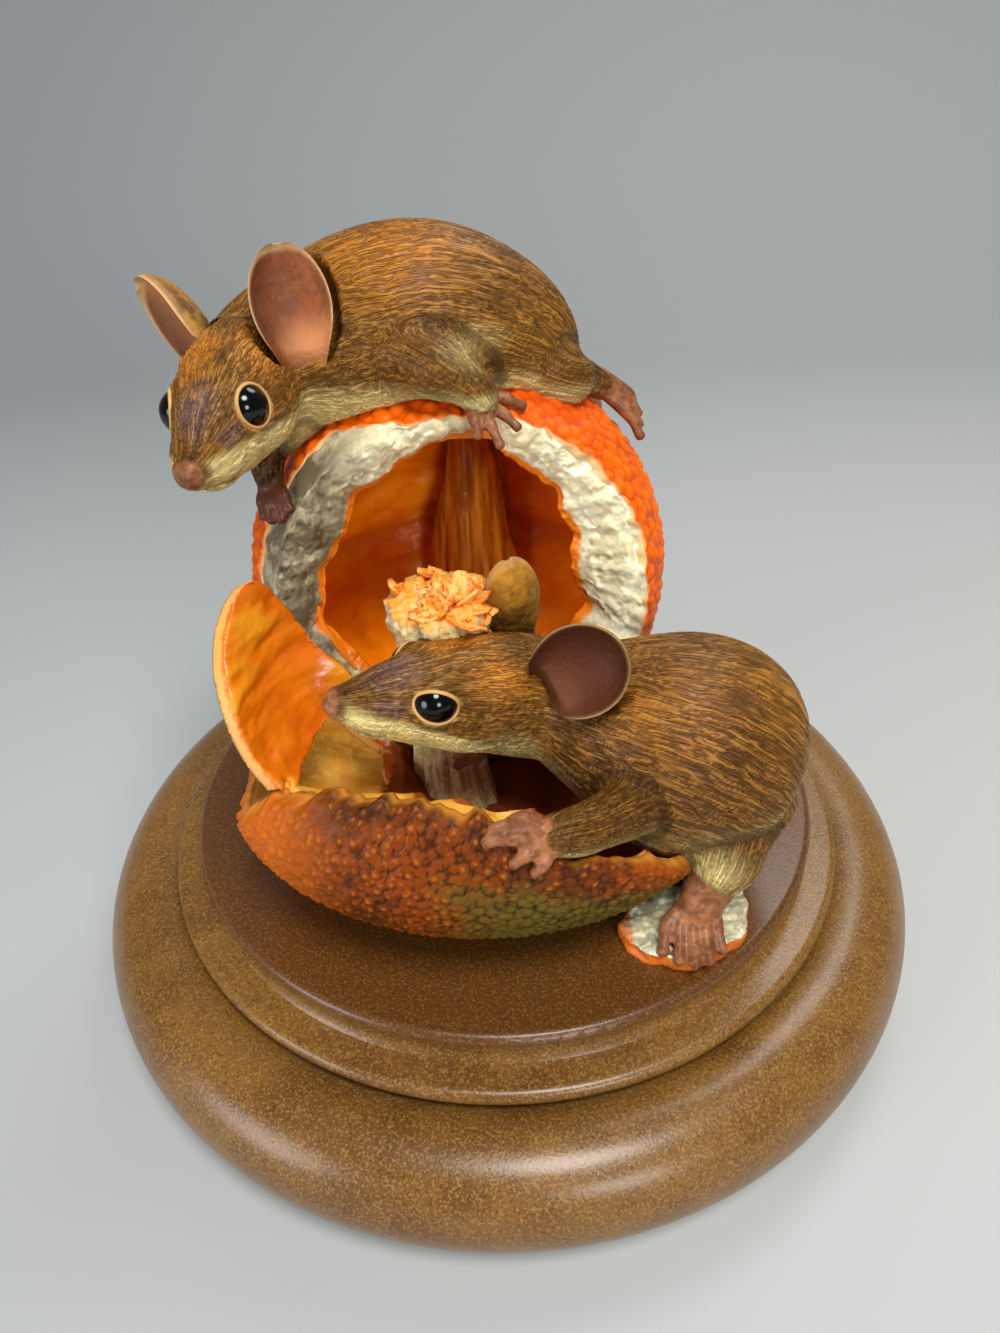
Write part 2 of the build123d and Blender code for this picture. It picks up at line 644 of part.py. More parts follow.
# Tails: tapered rods through their places
with BuildPart() as front_tail:
    points = [place(front_mouse_at, root) for root in front_tail_root_shares]
    widths = [root[3] * mouse_length for root in front_tail_root_shares]
    for along_share, back_share, width_share in front_tail_shares:
        width = width_share * mouse_length
        points.append(place(front_mouse_at, (along_share, back_share, 0)) + Vector(0, 0, width + tail_gap))
        widths.append(width)
    swell(points, [(width, width) for width in widths])
    cut_by(front_body, legs["front_mouse_hind_leg_left"], legs["front_mouse_hind_leg_right"])
    split(bisect_by=Plane.XY.offset(plinth_top + tail_gap), keep=Keep.TOP)
    keep_main(front_tail)
export_piece(front_tail, "front_mouse_tail")

with BuildPart() as upper_tail:
    points = [place(upper_mouse_at, root) for root in upper_tail_root_shares]
    widths = [root[3] * mouse_length for root in upper_tail_root_shares]
    for (around, rise), width_share in zip(upper_tail_bearings, upper_tail_width_shares):
        width = width_share * mouse_length
        bearing = Vector(math.cos(math.radians(around)) * math.cos(math.radians(rise)),
                         math.sin(math.radians(around)) * math.cos(math.radians(rise)), math.sin(math.radians(rise)))
        points.append(orange_centre + bearing * (orange_radius + width + tail_gap))
        widths.append(width)
    swell(points, [(width, width) for width in widths], Vector(-1, 1, 0).normalized())
    cut_by(upper_body, orange_ball)
    keep_main(upper_tail)
export_piece(upper_tail, "upper_mouse_tail")

# The torn core that stands in the bowl
with BuildPart() as core_stump:
    foot = Vector(core_across, -core_forward, plinth_top + core_foot_height)
    tall = core_height - core_foot_height
    swell([foot, foot + Vector(0, 0, tall * core_waist_share), foot + Vector(0, 0, tall)],
          [(core_diameter / 2, core_diameter / 2), (core_waist_diameter / 2, core_waist_diameter / 2),
           (core_diameter / 2, core_diameter / 2)], Vector(0, 1, 0))
    with BuildSketch(Plane(foot + Vector(0, 0, tall - core_tear_depth))) as tears:
        with PolarLocations(core_diameter / 2, core_tear_count):
            Rectangle(core_diameter * core_tear_reach_share, core_tear_width)
    extrude(tears.sketch, amount=core_tear_depth, mode=Mode.SUBTRACT)
    cut_by(bowl_lining, peel_bowl, open_ball, front_head, front_body, ears["front_mouse_ear_right"])
    keep_main(core_stump)
export_piece(core_stump, "core_stump")

# The petal of peel that stands at the bowl's left end
petal_normal = Vector(math.cos(math.radians(petal_turn)) * math.cos(math.radians(petal_lean)),
                      math.sin(math.radians(petal_turn)) * math.cos(math.radians(petal_lean)),
                      math.sin(math.radians(petal_lean)))
petal_at = Plane(origin=(petal_across, -petal_forward, plinth_top + petal_middle_height),
                 x_dir=Vector(0, 0, 1).cross(petal_normal), z_dir=petal_normal)
petal_outline = [(along_share * petal_breadth, rise_share * petal_height)
                 for along_share, rise_share in petal_outline_shares]
with BuildPart() as peel_petal:
    add(cupped_plate(petal_at, petal_outline, petal_cup_radius, petal_wall))
    cut_by(peel_bowl, bowl_lining, open_ball)
    keep_main(peel_petal)
export_piece(peel_petal, "peel_petal")
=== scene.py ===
import json
import math

import bmesh
import bpy
import numpy as np
from mathutils import Matrix, Vector

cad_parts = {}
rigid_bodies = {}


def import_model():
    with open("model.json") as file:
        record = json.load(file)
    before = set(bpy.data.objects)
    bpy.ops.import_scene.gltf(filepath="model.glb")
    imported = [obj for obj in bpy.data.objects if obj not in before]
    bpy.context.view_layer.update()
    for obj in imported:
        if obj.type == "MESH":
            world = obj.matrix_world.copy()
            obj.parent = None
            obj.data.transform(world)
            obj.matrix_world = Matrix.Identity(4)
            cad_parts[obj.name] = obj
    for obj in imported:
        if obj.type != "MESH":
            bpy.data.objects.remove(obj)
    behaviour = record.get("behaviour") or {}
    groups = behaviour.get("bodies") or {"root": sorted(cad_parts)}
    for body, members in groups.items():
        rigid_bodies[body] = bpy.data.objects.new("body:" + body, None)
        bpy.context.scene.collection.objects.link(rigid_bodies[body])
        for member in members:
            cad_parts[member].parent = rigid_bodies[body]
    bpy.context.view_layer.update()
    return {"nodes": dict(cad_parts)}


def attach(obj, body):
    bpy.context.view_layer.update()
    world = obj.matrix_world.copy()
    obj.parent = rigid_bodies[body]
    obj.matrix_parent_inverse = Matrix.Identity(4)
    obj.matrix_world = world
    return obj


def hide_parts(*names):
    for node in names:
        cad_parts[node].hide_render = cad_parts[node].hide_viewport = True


for leftover in list(bpy.data.objects):
    bpy.data.objects.remove(leftover)
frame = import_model()
nodes = frame["nodes"]

# Plinth
# A hardwood disc turned in one piece with a torus, a cove and a step ring. It is stained brown,
# flecked with gold and sealed with a satin lacquer.
MM = 0.001


def node(tree, kind, inputs=(), **settings):
    """Add a node with its settings, each input given as it is or fed by another node."""
    made = tree.nodes.new(kind)
    for name, setting in settings.items():
        setattr(made, name, setting)
    for socket, given in dict(inputs).items():
        if isinstance(given, Value):
            tree.links.new(given.socket, made.inputs[socket])
        else:
            made.inputs[socket].default_value = given
    return made


def value(tree, kind, inputs=(), output=0, **settings):
    """One output of a new node."""
    return Value(tree, node(tree, kind, inputs, **settings).outputs[output])


class Value:
    """What a node puts out: it adds up, eases from 0 to 1, and as a share it mixes two colours."""

    def __init__(self, tree, socket):
        self.tree, self.socket = tree, socket

    def math(self, operation, *others):
        return value(self.tree, "ShaderNodeMath", enumerate((self, *others)), operation=operation)

    def __add__(self, other):
        return self.math("ADD", other)

    def __sub__(self, other):
        return self.math("SUBTRACT", other)

    def __mul__(self, other):
        return self.math("MULTIPLY", other)

    def __rsub__(self, other):
        return value(self.tree, "ShaderNodeMath", {0: other, 1: self}, operation="SUBTRACT")

    def __rtruediv__(self, other):
        return value(self.tree, "ShaderNodeMath", {0: other, 1: self}, operation="DIVIDE")

    def scaled_onto(self, factor, base):
        return self.math("MULTIPLY_ADD", factor, base)

    def ease(self, low, high):
        ends = {"Value": self, "From Min": low, "From Max": high}
        return value(self.tree, "ShaderNodeMapRange", ends, interpolation_type="SMOOTHSTEP")

    def mix(self, first, second):
        first, second = [paint(*tone) if isinstance(tone, tuple) else tone for tone in (first, second)]
        return value(self.tree, "ShaderNodeMix", {0: self, 6: first, 7: second}, 2, data_type="RGBA")


def paint(red, green, blue):
    """A pot of paint, mixed from display values of 0 to 255."""
    share = [level / 255 for level in (red, green, blue)]
    return [level / 12.92 if level <= 0.04045 else ((level + 0.055) / 1.055) ** 2.4 for level in share] + [1.0]


def shader_of(finish):
    return finish.node_tree.nodes["Principled BSDF"]


def start_finish(name, roughness, coat=0.0, specular=0.5):
    """A new finish and its tree."""
    finish = bpy.data.materials.new(name)
    finish.use_nodes = True
    for socket, level in (("Roughness", roughness), ("Coat Weight", coat), ("Coat Roughness", 0.22),
                          ("Specular IOR Level", specular)):
        shader_of(finish).inputs[socket].default_value = level
    return finish, finish.node_tree


def laid(base, *coats):
    """A base colour with coats of paint over it, each a share and its display colour."""
    for share, colour in coats:
        base = share.mix(base, colour)
    return base


def painted(finish, base, relief=None, depth=0.0):
    """Give a finish its colour and the fine relief that stands up on it."""
    tree, shader = finish.node_tree, shader_of(finish)
    tree.links.new(base.socket, shader.inputs["Base Color"])
    if relief:
        bump = node(tree, "ShaderNodeBump", {"Height": relief, "Distance": depth, "Strength": 1.0})
        tree.links.new(bump.outputs[0], shader.inputs["Normal"])
    return finish


def noise(tree, place, scale, detail=3.0, roughness=0.55):
    """Cloudy noise at a place, from 0 to 1."""
    asked = {"Vector": place, "Scale": scale, "Detail": detail, "Roughness": roughness}
    return value(tree, "ShaderNodeTexNoise", asked)


def here(tree):
    """The place on the piece, in its own metres."""
    return value(tree, "ShaderNodeTexCoord", output="Object")


def make_mottle():
    """Uneven hand-laid colour: a mask of soft patches broken by finer ones."""
    group = bpy.data.node_groups.new("mottle", "ShaderNodeTree")
    for label, level in (("Patch Size", 0.01), ("Softness", 0.12)):
        group.interface.new_socket(label, in_out="INPUT", socket_type="NodeSocketFloat").default_value = level
    group.interface.new_socket("Mask", in_out="OUTPUT", socket_type="NodeSocketFloat")
    asked = node(group, "NodeGroupInput")
    size, softness = [Value(group, asked.outputs[label]) for label in ("Patch Size", "Softness")]
    place, scale = here(group), 1.0 / size
    broad = noise(group, place, scale, 2.0)
    fine = noise(group, place, scale * 4.3, 4.0, 0.65)
    both = fine.scaled_onto(0.45, broad * 0.55)
    node(group, "NodeGroupOutput", {"Mask": both.ease(0.5 - softness, softness + 0.5)})
    return group


mottle = make_mottle()


def patches(tree, size, softness=0.12):
    """The mottle's mask at a patch size."""
    return value(tree, "ShaderNodeGroup", {"Patch Size": size, "Softness": softness}, "Mask", node_tree=mottle)


def plinth_lacquer():
    finish, tree = start_finish("plinth_lacquer", 0.36, 0.2, 0.35)
    place = here(tree)
    height = value(tree, "ShaderNodeSeparateXYZ", {0: place}, 2)
    # Painted shade: the top disc is painted darker than the turned sides.
    shaded_top = height.ease(0.0245, 0.0265)
    gold = noise(tree, place, 2600.0, 3.0, 0.7).ease(0.50, 0.62)
    dark = noise(tree, place, 2100.0, 3.0, 0.7).ease(0.52, 0.64)
    flecks = node(tree, "ShaderNodeTexVoronoi", {"Vector": place, "Scale": 900.0, "Randomness": 1.0})
    few = value(tree, "ShaderNodeSeparateColor", {0: Value(tree, flecks.outputs["Color"])}).ease(0.96, 0.97)
    pits = Value(tree, flecks.outputs["Distance"]).ease(0.10, 0.04) * few
    brown = laid(patches(tree, 0.028).mix((96, 62, 26), (118, 82, 36)),
                 (height.ease(0.011, 0.001), (104, 58, 28)), (shaded_top, (86, 50, 18)),
                 (dark * 0.6, (60, 38, 16)), (gold * shaded_top.scaled_onto(-0.28, 0.5), (170, 128, 60)),
                 (pits, (34, 24, 16)))
    tree.links.new(gold.scaled_onto(0.12, 0.30).socket, shader_of(finish).inputs["Roughness"])
    return painted(finish, brown, noise(tree, place, 2400.0, 3.0) - pits * 2.0, 0.00005)


def dress(piece, finish):
    """Give a piece its one finish."""
    piece.data.materials.clear()
    piece.data.materials.append(finish)


dress(nodes["plinth"], plinth_lacquer())


# Baize pad and its fixings
# A disc of green baize, glued over the screw holes, with loose fibres round its cut edge. Two wood
# screws with washers pass up through the plinth into the orange and are closed in by the pad.
def settle(piece):
    """Turn a piece with its modifiers into a plain mesh."""
    graph = bpy.context.evaluated_depsgraph_get()
    graph.update()
    mesh = bpy.data.meshes.new_from_object(piece.evaluated_get(graph), preserve_all_data_layers=True, depsgraph=graph)
    piece.modifiers.clear()
    piece.data = mesh
    mesh.shade_smooth()
    return piece


def new_piece(name, points, faces):
    """A piece from points in millimetres, with its faces turned outwards."""
    mesh = bpy.data.meshes.new(name)
    mesh.from_pydata((np.asarray(points, float) * MM).tolist(), [], [tuple(face) for face in faces])
    body = bmesh.new()
    body.from_mesh(mesh)
    bmesh.ops.recalc_face_normals(body, faces=body.faces)
    body.to_mesh(mesh)
    body.free()
    mesh.shade_smooth()
    piece = bpy.data.objects.new(name, mesh)
    bpy.context.scene.collection.objects.link(piece)
    return piece


def start_tree(name, inputs):
    """A geometry tree and what it is given, by label: each input has a socket kind and a value."""
    tree = bpy.data.node_groups.new(name, "GeometryNodeTree")
    inputs = [("Geometry", "Geometry", None), *inputs, ("Finish", "Material", None)]
    for label, kind, usual in inputs:
        socket = tree.interface.new_socket(label, in_out="INPUT", socket_type="NodeSocket" + kind)
        if usual is not None:
            socket.default_value = usual
    tree.interface.new_socket("Geometry", in_out="OUTPUT", socket_type="NodeSocketGeometry")
    start = node(tree, "NodeGroupInput")
    return tree, {label: Value(tree, start.outputs[label]) for label, _, _ in inputs}


def end_tree(tree, given, geometry):
    """Make the tree's instances real and give them their finish."""
    real = value(tree, "GeometryNodeRealizeInstances", {"Geometry": geometry})
    dressed = value(tree, "GeometryNodeSetMaterial", {"Geometry": real, "Material": given["Finish"]})
    node(tree, "NodeGroupOutput", {0: dressed})
    return tree


def grow(piece, tree, finish, **values):
    """Run a geometry tree on a piece with its inputs set, and keep the plain mesh."""
    modifier = piece.modifiers.new(tree.name, "NODES")
    modifier.node_group = tree
    for item in tree.interface.items_tree:
        if item.item_type == "SOCKET" and item.in_out == "INPUT":
            label = item.name.lower().replace(" ", "_")
            if label in values:
                modifier[item.identifier] = values[label]
            if item.name == "Finish":
                modifier[item.identifier] = finish
    dress(settle(piece), finish)


def hold(piece, slot, *replaced):
    """Let a finished piece ride with the figurine, in place of its CAD nodes; its slot is not used."""
    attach(piece, "root")
    if replaced:
        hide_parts(*replaced)


def vectors(tree, operation, *ways):
    return value(tree, "ShaderNodeVectorMath", enumerate(ways), operation=operation)


def scaled(tree, way, share):
    return value(tree, "ShaderNodeVectorMath", {0: way, "Scale": share}, operation="SCALE")


def place_of(tree):
    return value(tree, "GeometryNodeInputPosition")


def chance(tree, low, high, seed):
    """Three random numbers a point."""
    return value(tree, "FunctionNodeRandomValue", {"Min": low, "Max": high, "Seed": seed}, data_type="FLOAT_VECTOR")


def baize_nap():
    finish, tree = start_finish("baize_nap", 0.95, specular=0.1)
    nap = noise(tree, here(tree), 900.0, 4.0, 0.7)
    return painted(finish, nap.mix((22, 52, 30), (64, 104, 62)), nap, 0.0003)


def fibre_tree():
    """Loose fibres on the rim: short bent hairs, one on each point of a ring, resting on the shelf."""
    tree, given = start_tree("baize_fibres", [
        ("Count", "Int", 700), ("Ring Radius", "Float", 0.063), ("Fibre Length", "Float", 0.0015),
        ("Fibre Width", "Float", 0.00012), ("Shelf", "Vector", (-1.0, -1.0, 0.00003)), ("Seed", "Int", 3)])
    seed = given["Seed"]
    ring = value(tree, "GeometryNodeMeshCircle", {"Vertices": given["Count"], "Radius": given["Ring Radius"]})
    lift = chance(tree, (-0.0003, -0.0003, 0.00025), (0.0003, 0.0003, 0.0008), seed)
    raised = value(tree, "GeometryNodeSetPosition", {"Geometry": ring, "Offset": lift})
    stalk = value(tree, "GeometryNodeMeshCone", {
        "Vertices": 3, "Side Segments": 2, "Radius Top": 0.0, "Radius Bottom": given["Fibre Width"],
        "Depth": given["Fibre Length"]})
    outward = value(tree, "FunctionNodeAlignRotationToVector", {"Vector": place_of(tree)}, axis="Z")
    sway = chance(tree, (-0.5, -0.5, 0.0), (0.5, 0.5, 6.2), seed)
    turned = value(tree, "FunctionNodeRotateRotation", {"Rotation": outward, "Rotate By": sway}, rotation_space="LOCAL")
    size = value(tree, "FunctionNodeRandomValue", {2: 0.5, 3: 1.0, "Seed": seed}, 1, data_type="FLOAT")
    hairs = value(tree, "GeometryNodeInstanceOnPoints", {
        "Points": raised, "Instance": stalk, "Rotation": turned, "Scale": size})
    real = value(tree, "GeometryNodeRealizeInstances", {"Geometry": hairs})
    resting = vectors(tree, "MAXIMUM", place_of(tree), given["Shelf"])
    return end_tree(tree, given, value(tree, "GeometryNodeSetPosition", {"Geometry": real, "Position": resting}))


nap = baize_nap()
dress(nodes["baize_pad"], nap)
fibres = new_piece("baize_fibres", [(0, 0, 0), (1, 0, 0), (0, 1, 0)], [(0, 1, 2)])
grow(fibres, fibre_tree(), nap, count=700, ring_radius=0.0628, seed=3)
hold(fibres, "baize")


def zinc_plate():
    finish, tree = start_finish("zinc_plate", 0.35)
    shader_of(finish).inputs["Metallic"].default_value = 1.0
    return painted(finish, patches(tree, 0.003).mix((170, 170, 165), (120, 118, 112)))


zinc = zinc_plate()
for fixing in ("fixing_screws", "fixing_washers"):
    dress(nodes[fixing], zinc)

# The standing orange's peel
# The resin skin of the orange, cast with raised pebbles and brushed bright orange, with a red painted
# shadow under the mouse's belly. Its mouth is torn on one slanting plane, and its foot is flat on the plinth.
ORANGE = np.array([-6.0, 17.5, 60.3])
ORANGE_RADIUS = 34.3
PEEL_WALL = 2.0
PLINTH_TOP = 27.0
MOUTH_BACK = 18.3
MOUTH_LEAN, MOUTH_TURN = math.radians(8.5), math.radians(3.5)
mouth_axis = np.array([math.sin(MOUTH_TURN), -math.cos(MOUTH_TURN), math.sin(MOUTH_LEAN)])
mouth_axis /= np.linalg.norm(mouth_axis)
mouth_across = np.cross([0.0, 0.0, 1.0], mouth_axis)
mouth_across /= np.linalg.norm(mouth_across)
mouth_up = np.cross(mouth_axis, mouth_across)


def ease(value, low, high):
    """Rise smoothly from 0 at low to 1 at high."""
    share = np.clip((value - low) / (high - low), 0, 1)
    return share * share * (3 - 2 * share)


def ripple(angles, waves, seed):
    """A ragged line round a ring: waves of (count, height) with set phases."""
    phase = np.random.default_rng(seed).uniform(0, 2 * np.pi, len(waves))
    return sum(height * np.sin(count * angles + shift) for (count, height), shift in zip(waves, phase))


def ring_grid(rows):
    """Points and faces of a closed skin from rings of equal length; a first or last ring of one point is a pole."""
    points = np.concatenate(rows)
    starts = np.cumsum([0] + [len(row) for row in rows])
    faces = []
    for index in range(len(rows) - 1):
        low, high = rows[index], rows[index + 1]
        a, b = starts[index], starts[index + 1]
        count = max(len(low), len(high))
        step = np.arange(count)
        following = (step + 1) % count
        if len(low) == 1:
            faces += np.stack([np.full(count, a), b + following, b + step], 1).tolist()
        elif len(high) == 1:
            faces += np.stack([a + step, a + following, np.full(count, b)], 1).tolist()
        else:
            faces += np.stack([a + step, a + following, b + following, b + step], 1).tolist()
    return points, faces


def orange_ring(angles, polar, radius, rise=0.0):
    """A ring on a ball about the orange's mouth axis: polar is the angle back from the mouth's middle."""
    out = np.cos(angles)[:, None] * mouth_across + np.sin(angles)[:, None] * mouth_up
    polar = np.broadcast_to(polar, angles.shape)[:, None]
    radius = np.broadcast_to(radius, angles.shape)[:, None]
    return ORANGE + np.array([0, 0, rise]) + radius * (np.sin(polar) * out + np.cos(polar) * mouth_axis)


def flat_foot(points, floor):
    """Press what lies below the floor flat."""
    pressed = points.copy()
    pressed[:, 2] = np.maximum(pressed[:, 2], floor)
    return pressed


def cap_rows(bearings, edge, radius, shares, rise=0.0):
    """Rings on that ball, from a torn edge at a share of 0 to its back at 1."""
    return [orange_ring(bearings, edge + (math.pi - edge) * share, radius, rise) for share in shares]


def kept_mark(tree, name, kind="FLOAT"):
    """A mark that the piece keeps, read by its geometry tree."""
    return value(tree, "GeometryNodeInputNamedAttribute", {"Name": name}, data_type=kind)


def end_relief(tree, given, height, name, kept):
    """Stand a piece's skin up by a height, keep a value under a name for its paint, and end the tree."""
    along = scaled(tree, value(tree, "GeometryNodeInputNormal"), height)
    moved = value(tree, "GeometryNodeSetPosition", {"Geometry": given["Geometry"], "Offset": along})
    stored = value(tree, "GeometryNodeStoreNamedAttribute", {"Geometry": moved, "Name": name, "Value": kept},
                   data_type="FLOAT", domain="POINT")
    return end_tree(tree, given, stored)


def pebble_tree():
    """Cast pebbles on peel: each cell of skin stands up round, with a fine crease between neighbours."""
    tree, given = start_tree("pebbled_peel", [
        ("Pebble Size", "Float", 0.0011), ("Pebble Height", "Float", 0.0002), ("Seed", "Float", 2.0)])
    place = place_of(tree)
    wander = value(tree, "ShaderNodeTexNoise", {"Vector": place, "Scale": 420.0, "Detail": 2.0, "W": given["Seed"]}, 1,
                   noise_dimensions="4D")
    cells = {"Vector": vectors(tree, "MULTIPLY_ADD", wander, (0.0005, 0.0005, 0.0005), place),
             "Scale": 1.0 / given["Pebble Size"]}
    crease = value(tree, "ShaderNodeTexVoronoi", cells, "Distance", feature="DISTANCE_TO_EDGE")
    middle = value(tree, "ShaderNodeTexVoronoi", {**cells, "Smoothness": 0.3}, "Distance", feature="SMOOTH_F1")
    dome = crease.ease(0.0, 0.24).scaled_onto(0.5, middle.ease(0.75, 0.05) * 0.7)
    swell = noise(tree, place, 150.0, 2.0).scaled_onto(0.8, dome)
    return end_relief(tree, given, (swell - 0.9) * kept_mark(tree, "skin") * given["Pebble Height"], "pebble", dome)


def mark(piece, name, values):
    """Keep one number a point on a piece, for its relief and its paint."""
    values = np.asarray(values, np.float32)
    kind = "FLOAT_VECTOR" if values.ndim == 2 else "FLOAT"
    attribute = piece.data.attributes.new(name, kind, "POINT")
    attribute.data.foreach_set("vector" if values.ndim == 2 else "value", values.ravel())


def points_of(piece):
    """A piece's points in millimetres."""
    points = np.zeros(len(piece.data.vertices) * 3, np.float32)
    piece.data.vertices.foreach_get("co", points)
    return points.reshape(-1, 3).astype(float) / MM


def normals_of(piece):
    """A piece's point normals."""
    normals = np.zeros(len(piece.data.vertices) * 3, np.float32)
    piece.data.vertex_normals.foreach_get("vector", normals)
    return normals.reshape(-1, 3).astype(float)


def move_points(piece, points):
    """Put a piece's points at new places, in millimetres."""
    piece.data.vertices.foreach_set("co", (points * MM).astype(np.float32).ravel())
    piece.data.update()


def press_flat(piece):
    """Press a piece's foot flat on the plinth."""
    move_points(piece, flat_foot(points_of(piece), PLINTH_TOP))


def attribute(tree, name, output="Fac"):
    """A mark that the piece keeps, read by its finish."""
    return value(tree, "ShaderNodeAttribute", {}, output, attribute_name=name)


def peel_finish(name, bright, deep, crease, edge):
    """Painted peel: two oranges in soft patches, painted shade between the pebbles, painted highlight on their tops,
    torn edges.
    """
    finish, tree = start_finish(name, 0.45, 0.02, 0.14)
    pebble = attribute(tree, "pebble")
    # Painted shade: the olive is darker in the creases between the pebbles.
    olive = pebble.ease(0.45, 0.0).mix((92, 74, 18), (46, 36, 10))
    green = attribute(tree, "green") + patches(tree, 0.008).scaled_onto(0.3, -0.15)
    # Painted shade in the creases and a painted highlight on the pebbles' tops, then a red painted shadow and painted
    # light where marked.
    base = laid(patches(tree, 0.016).mix(bright, deep), (pebble.ease(0.42, 0.05) * 0.75, crease),
                (pebble.ease(0.7, 1.1) * 0.2, (250, 150, 40)), (attribute(tree, "belly_shadow") * 0.6, (206, 72, 16)),
                (attribute(tree, "sun") * 0.7, (220, 108, 8)), (green.ease(0.2, 0.9), olive))
    return painted(finish, attribute(tree, "skin").mix(edge, base), noise(tree, here(tree), 1500.0, 3.0), 0.00008)


AROUND = 560
angles = np.linspace(0, 2 * np.pi, AROUND, endpoint=False)
mouth_polar = math.acos(MOUTH_BACK / ORANGE_RADIUS)
torn_waves = [(3, 0.010), (7, 0.008), (13, 0.008), (23, 0.007), (41, 0.006), (67, 0.004)]
torn = mouth_polar + ripple(angles, torn_waves, 5)
# At the upper left the skin is torn back further than its pith
skin_edge = torn + 0.17 * ease(angles, 1.75, 2.2) * ease(angles, 4.1, 3.3)
edge_bite = ripple(angles, [(11, 0.12), (19, 0.12), (37, 0.10)], 8)
rows = [orange_ring(angles[:1], math.pi, ORANGE_RADIUS)]
rows += cap_rows(angles, skin_edge, ORANGE_RADIUS, np.linspace(1, 0, 168)[1:])
rows += [orange_ring(angles, skin_edge - inward / ORANGE_RADIUS, ORANGE_RADIUS - PEEL_WALL * share + edge_bite * share)
         for share, inward in ((0.2, 0.10), (0.5, 0.16), (0.8, 0.06), (1.0, -0.25))]
rows += cap_rows(angles, skin_edge, ORANGE_RADIUS - PEEL_WALL, np.linspace(0, 1, 9)[1:-1])
rows.append(orange_ring(angles[:1], math.pi, ORANGE_RADIUS - PEEL_WALL))
rind = new_piece("orange_peel_skin", *ring_grid(rows))
points = points_of(rind)
mark(rind, "skin", ease(ORANGE_RADIUS - np.linalg.norm(points - ORANGE, axis=1), 0.5, 0.1))
# A red painted shadow under the upper mouse's belly.
mark(rind, "belly_shadow", ease(np.linalg.norm((points - [14.0, 13.0, 91.0]) / [16, 9, 6], axis=1), 1.3, 0.5))
mark(rind, "green", ease(np.linalg.norm(points - [-1.2, 9.6, 93.0], axis=1), 2.6, 0.8))
peel_colours = peel_finish("bright_peel", (238, 104, 2), (222, 86, 0), (186, 62, 0), (236, 200, 140))
move_points(rind, flat_foot(points, PLINTH_TOP))
pebbles = pebble_tree()
grow(rind, pebbles, peel_colours, pebble_size=0.0023, pebble_height=0.00050, seed=2.0)
press_flat(rind)
hold(rind, "orange_peel", "orange_rind")

# The orange's pith
# A thick layer of resin modelled as torn white pith. It shows as a broad rough band, sloping in from
# the peel's edge to the eaten hollow, brushed cream with painted grey shade, and stained orange along its inner edge.
HOLLOW_RISE = 2.2
WALL_RADIUS = 28.1
HOLLOW_RADIUS = 26.7
FLESH_FLOOR = 36.5


def rough_tree():
    """Torn pith: ragged layers with steep broken edges, over softer lumps, on the marked band."""
    tree, given = start_tree("torn_pith", [
        ("Lump Size", "Float", 0.004), ("Lump Height", "Float", 0.0006), ("Layer Height", "Float", 0.0005)])
    place, scale = place_of(tree), 1.0 / given["Lump Size"]
    lumps = noise(tree, place, scale, 4.0, 0.6)
    sheets = noise(tree, place, scale * 0.75, 3.0, 0.55) * 7.0
    broken = sheets.math("FRACT").ease(0.62, 1.0)
    layers = sheets.math("FLOOR") + broken
    height = (layers - 3.5).scaled_onto(given["Layer Height"], (lumps - 0.5) * (given["Lump Height"] * 3.0))
    return end_relief(tree, given, height * kept_mark(tree, "torn"), "layer", broken * 0.5 + lumps * 0.5)


def pith_finish(name, pale, warm, shade, stain):
    """Brushed pith: two creams in patches with grey specks, painted shade in the hollows, painted shadow and stains
    where marked.
    """
    finish, tree = start_finish(name, 0.5, 0.1, 0.3)
    place = here(tree)
    specks = noise(tree, place, 700.0, 3.0, 0.7).ease(0.62, 0.75)
    # Painted shadow, in patches, where it is marked.
    painted_shadow = attribute(tree, "painted_shadow") * patches(tree, 0.009).scaled_onto(0.5, 0.5)
    stained = attribute(tree, "stain") * noise(tree, place, 520.0, 4.0, 0.7).scaled_onto(1.6, 0.2)
    # Painted shade: the shade colour darkens the hollows between the torn layers, and also colours the specks.
    base = laid(patches(tree, 0.006, 0.08).mix(pale, warm), (attribute(tree, "layer").ease(0.4, 0.15) * 0.6, shade),
                (specks * 0.6, shade), (painted_shadow, (100, 88, 64)), (stained.ease(0.3, 0.7), stain))
    return painted(finish, base, noise(tree, place, 1300.0, 4.0, 0.65), 0.00018)


COLLAR_BACK = 13.4
# The hollow's half width for each bearing round its mouth: narrow at the right, wide at the lower left
collar = np.interp(angles, [0.0, 0.6, 1.2, 1.57, 2.0, 2.4, 2.8, 3.14, 3.6, 4.71, 5.4, 6.28],
                   [18.2, 18.2, 21.0, 22.3, 21.2, 19.6, 19.9, 21.0, 22.0, 22.3, 20.6, 18.2])
collar = collar + ripple(angles, [(3, 0.4), (7, 0.6), (12, 0.4), (19, 0.25), (31, 0.12)], 21)
out_ways = np.cos(angles)[:, None] * mouth_across + np.sin(angles)[:, None] * mouth_up
lip_out = orange_ring(angles, torn - 0.004, ORANGE_RADIUS - 0.5)
lip_in = ORANGE + [0, 0, HOLLOW_RISE] + out_ways * collar[:, None] + mouth_axis * COLLAR_BACK
rows = [orange_ring(angles[:1], math.pi, ORANGE_RADIUS - PEEL_WALL)]
rows += cap_rows(angles, skin_edge + 0.04, ORANGE_RADIUS - PEEL_WALL, np.linspace(1, 0, 10)[1:])
cover_first = len(rows)
rows += [orange_ring(angles, torn + (skin_edge - torn + 0.01) * share, ORANGE_RADIUS - 0.5)
         for share in np.linspace(1, 0, 12)[:-1]]
band_first = len(rows)
BAND_ROWS = 44
